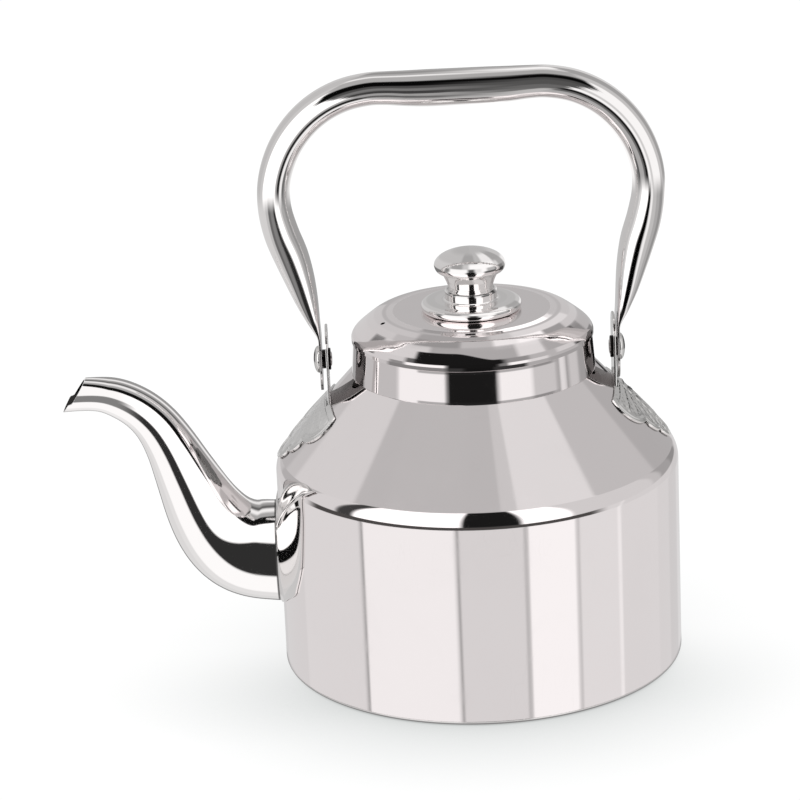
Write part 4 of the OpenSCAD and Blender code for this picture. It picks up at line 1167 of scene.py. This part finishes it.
# ------------------------------------------------------------------ lid and knob
def build_lid():
    rim = [(50.6, 140.44), (50.6, 141.9)]
    side = catmull([(50.6, 141.9), (50.25, 142.75), (49.3, 143.95), (47.5, 145.55), (45.0, 147.55), (42.6, 149.3), (40.4, 150.5),
                    (37.6, 151.25), (34.6, 151.55)], 6)
    step = catmull([(34.6, 151.55), (34.1, 151.63), (33.7, 151.8), (33.2, LID_TOP)], 3)[1:]
    outer = rim[:1] + [tuple(p) for p in side] + [tuple(p) for p in step] + [(2.55, LID_TOP)]
    inner = [(2.55, LID_TOP - 0.8), (32.9, LID_TOP - 0.8), (33.5, 150.95), (34.5, 150.75)]
    inner += [tuple(p) for p in catmull([(34.5, 150.75), (37.4, 150.45), (40.0, 149.75), (42.1, 148.65), (44.5, 146.9), (46.95, 144.95),
                                         (48.6, 143.35), (49.5, 142.2), (49.8, 141.6)], 4)][1:]
    inner += [(49.8, 140.44)]
    V, F = lathe(support(outer + inner, 0.1, 6.0), 288)
    ob = add_piece("lid_shell_spun", V, F, M_LID, "lid", ["lid_shell"], sharp=28)
    a = math.radians(180 + 19.2)
    bm = bmesh.new()
    bmesh.ops.create_cone(bm, cap_ends=True, segments=40, radius1=1.0 * MM, radius2=1.0 * MM, depth=8 * MM,
                          matrix=Matrix.Translation(Vector((39.3 * math.cos(a), 39.3 * math.sin(a), 150.8)) * MM))
    me = bpy.data.meshes.new("vent_cutter")
    bm.to_mesh(me)
    bm.free()
    cut = bpy.data.objects.new("vent_cutter", me)
    bpy.context.scene.collection.objects.link(cut)
    mod = ob.modifiers.new("vent", "BOOLEAN")
    mod.object = cut
    mod.operation = "DIFFERENCE"
    mod.solver = "EXACT"
    bpy.context.view_layer.update()
    dg = bpy.context.evaluated_depsgraph_get()
    new = bpy.data.meshes.new_from_object(ob.evaluated_get(dg))
    ob.modifiers.clear()
    old = ob.data
    ob.data = new
    bpy.data.meshes.remove(old)
    bpy.data.objects.remove(cut)
    new.set_sharp_from_angle(angle=math.radians(28))

    loop = [(47.2, 127.2), (46.6, 126.75), (46.9, 126.45), (48.0, 127.1), (48.0, 141.3), (47.95, 143.2), (46.6, 144.2), (46.6, 142.0), (47.2, 141.2)]
    V, F = lathe(support(loop, 0.1, 4.0), 256)
    add_piece("lid_plug", V, F, M_INNER, "lid", ["lid_plug_ring"])


def build_knob():
    z = LID_TOP + 0.02
    sr = 21.0
    outer = catmull([(sr - 1.3, z), (sr - 0.5, z + 0.45), (sr - 0.1, z + 1.15), (sr, z + 2.0), (sr - 0.2, z + 2.8), (sr - 0.85, z + 3.5),
                     (sr - 2.05, z + 4.05), (sr - 3.8, z + 4.35), (15.2, z + 4.45), (13.0, z + 4.4), (11.8, z + 4.42), (11.15, z + 4.62)], 5)
    collar = catmull([(10.93, z + 4.95), (10.9, z + 6.4), (10.9, z + 7.9), (10.72, z + 8.5), (10.3, z + 8.82), (9.8, z + 8.9)], 4)
    loop = [(2.6, z)] + [tuple(p) for p in outer] + [tuple(p) for p in collar] + [(2.6, z + 8.9)]
    V, F = lathe(support(loop, 0.08, 3.0), 192)
    add_piece("knob_saucer", V, F, M_KNOB, "lid", ["knob_base"], sharp=30)
    z = LID_TOP + 8.94
    prof = catmull([(9.1, z), (9.15, z + 0.5), (9.35, z + 1.2), (9.8, z + 2.6), (10.5, z + 4.4), (11.4, z + 6.2), (12.1, z + 7.3)], 6)
    loop = [(2.6, z)] + [tuple(p) for p in prof] + [(2.6, z + 7.3)]
    V, F = lathe(support(loop, 0.08, 3.0), 192)
    add_piece("knob_stem_turned", V, F, M_KNOB, "lid", ["knob_stem"], sharp=30)
    z = LID_TOP + 16.26
    h = 177.8 - z - 2.9
    rim = catmull([(12.7, z), (13.7, z + 0.45), (14.5, z + 1.5), (14.85, z + 2.6), (14.9, z + 2.9)], 5)
    dome = [(14.9 * math.cos(t), z + 2.9 + h * math.sin(t)) for t in np.linspace(0, math.pi / 2, 30)[1:-1]]
    loop = [(0, z)] + [tuple(p) for p in rim] + dome + [(0, z + 2.9 + h)]
    V, F = lathe(support(loop, 0.08, 4.0), 192)
    add_piece("knob_cap_domed", V, F, M_KNOB, "lid", ["knob_cap"], sharp=30)


def camera():
    e, rho, D, tx, tz = 0.3240, -0.0445, 16.55 * R * MM, -0.3697 * R * MM, 1.3279 * R * MM
    d = Vector((0, math.cos(e), -math.sin(e)))
    r = Vector((1, 0, 0))
    u = Vector((0, math.sin(e), math.cos(e)))
    c = Vector((tx, 0, tz)) - d * D
    r2 = r * math.cos(rho) + u * math.sin(rho)
    u2 = -r * math.sin(rho) + u * math.cos(rho)
    cam = bpy.data.cameras.new("camera")
    cam.sensor_width = 36
    cam.lens = 3343.6 * 36 / 800
    cam.clip_start, cam.clip_end = 0.05, 30
    ob = bpy.data.objects.new("camera", cam)
    bpy.context.scene.collection.objects.link(ob)
    ob.matrix_world = Matrix(((r2.x, u2.x, -d.x, c.x), (r2.y, u2.y, -d.y, c.y), (r2.z, u2.z, -d.z, c.z), (0, 0, 0, 1)))
    bpy.context.scene.camera = ob


def light():
    L = bpy.data.lights.new("soft_top", "AREA")
    L.shape = "DISK"
    L.size = 1.6
    L.energy = 6.0
    ob = bpy.data.objects.new("soft_top", L)
    bpy.context.scene.collection.objects.link(ob)
    ob.location = (0.3, -0.5, 1.6)
    ob.rotation_euler = (math.radians(18), math.radians(10), 0)
    ob.visible_glossy = False
    ob.visible_camera = False


build_body()
build_base()
build_neck()
build_spout()
build_flange()
build_ear(1, "rear_ear_leaf", "rear_ear", M_EAR, 1.5)
build_ear(-1, "front_ear_leaf", "front_ear", M_EAR_FRONT, 0.30)
build_handle()
build_pivots()
build_lid()
build_knob()
for n in ("knob_stud", "lid_washer", "lid_nut"):
    o = frame["nodes"][n]
    o.data.materials.clear()
    o.data.materials.append(M_INNER)
world()
floor_piece()
surround_piece()
light()
camera()
bpy.context.scene.view_settings.view_transform = "Standard"
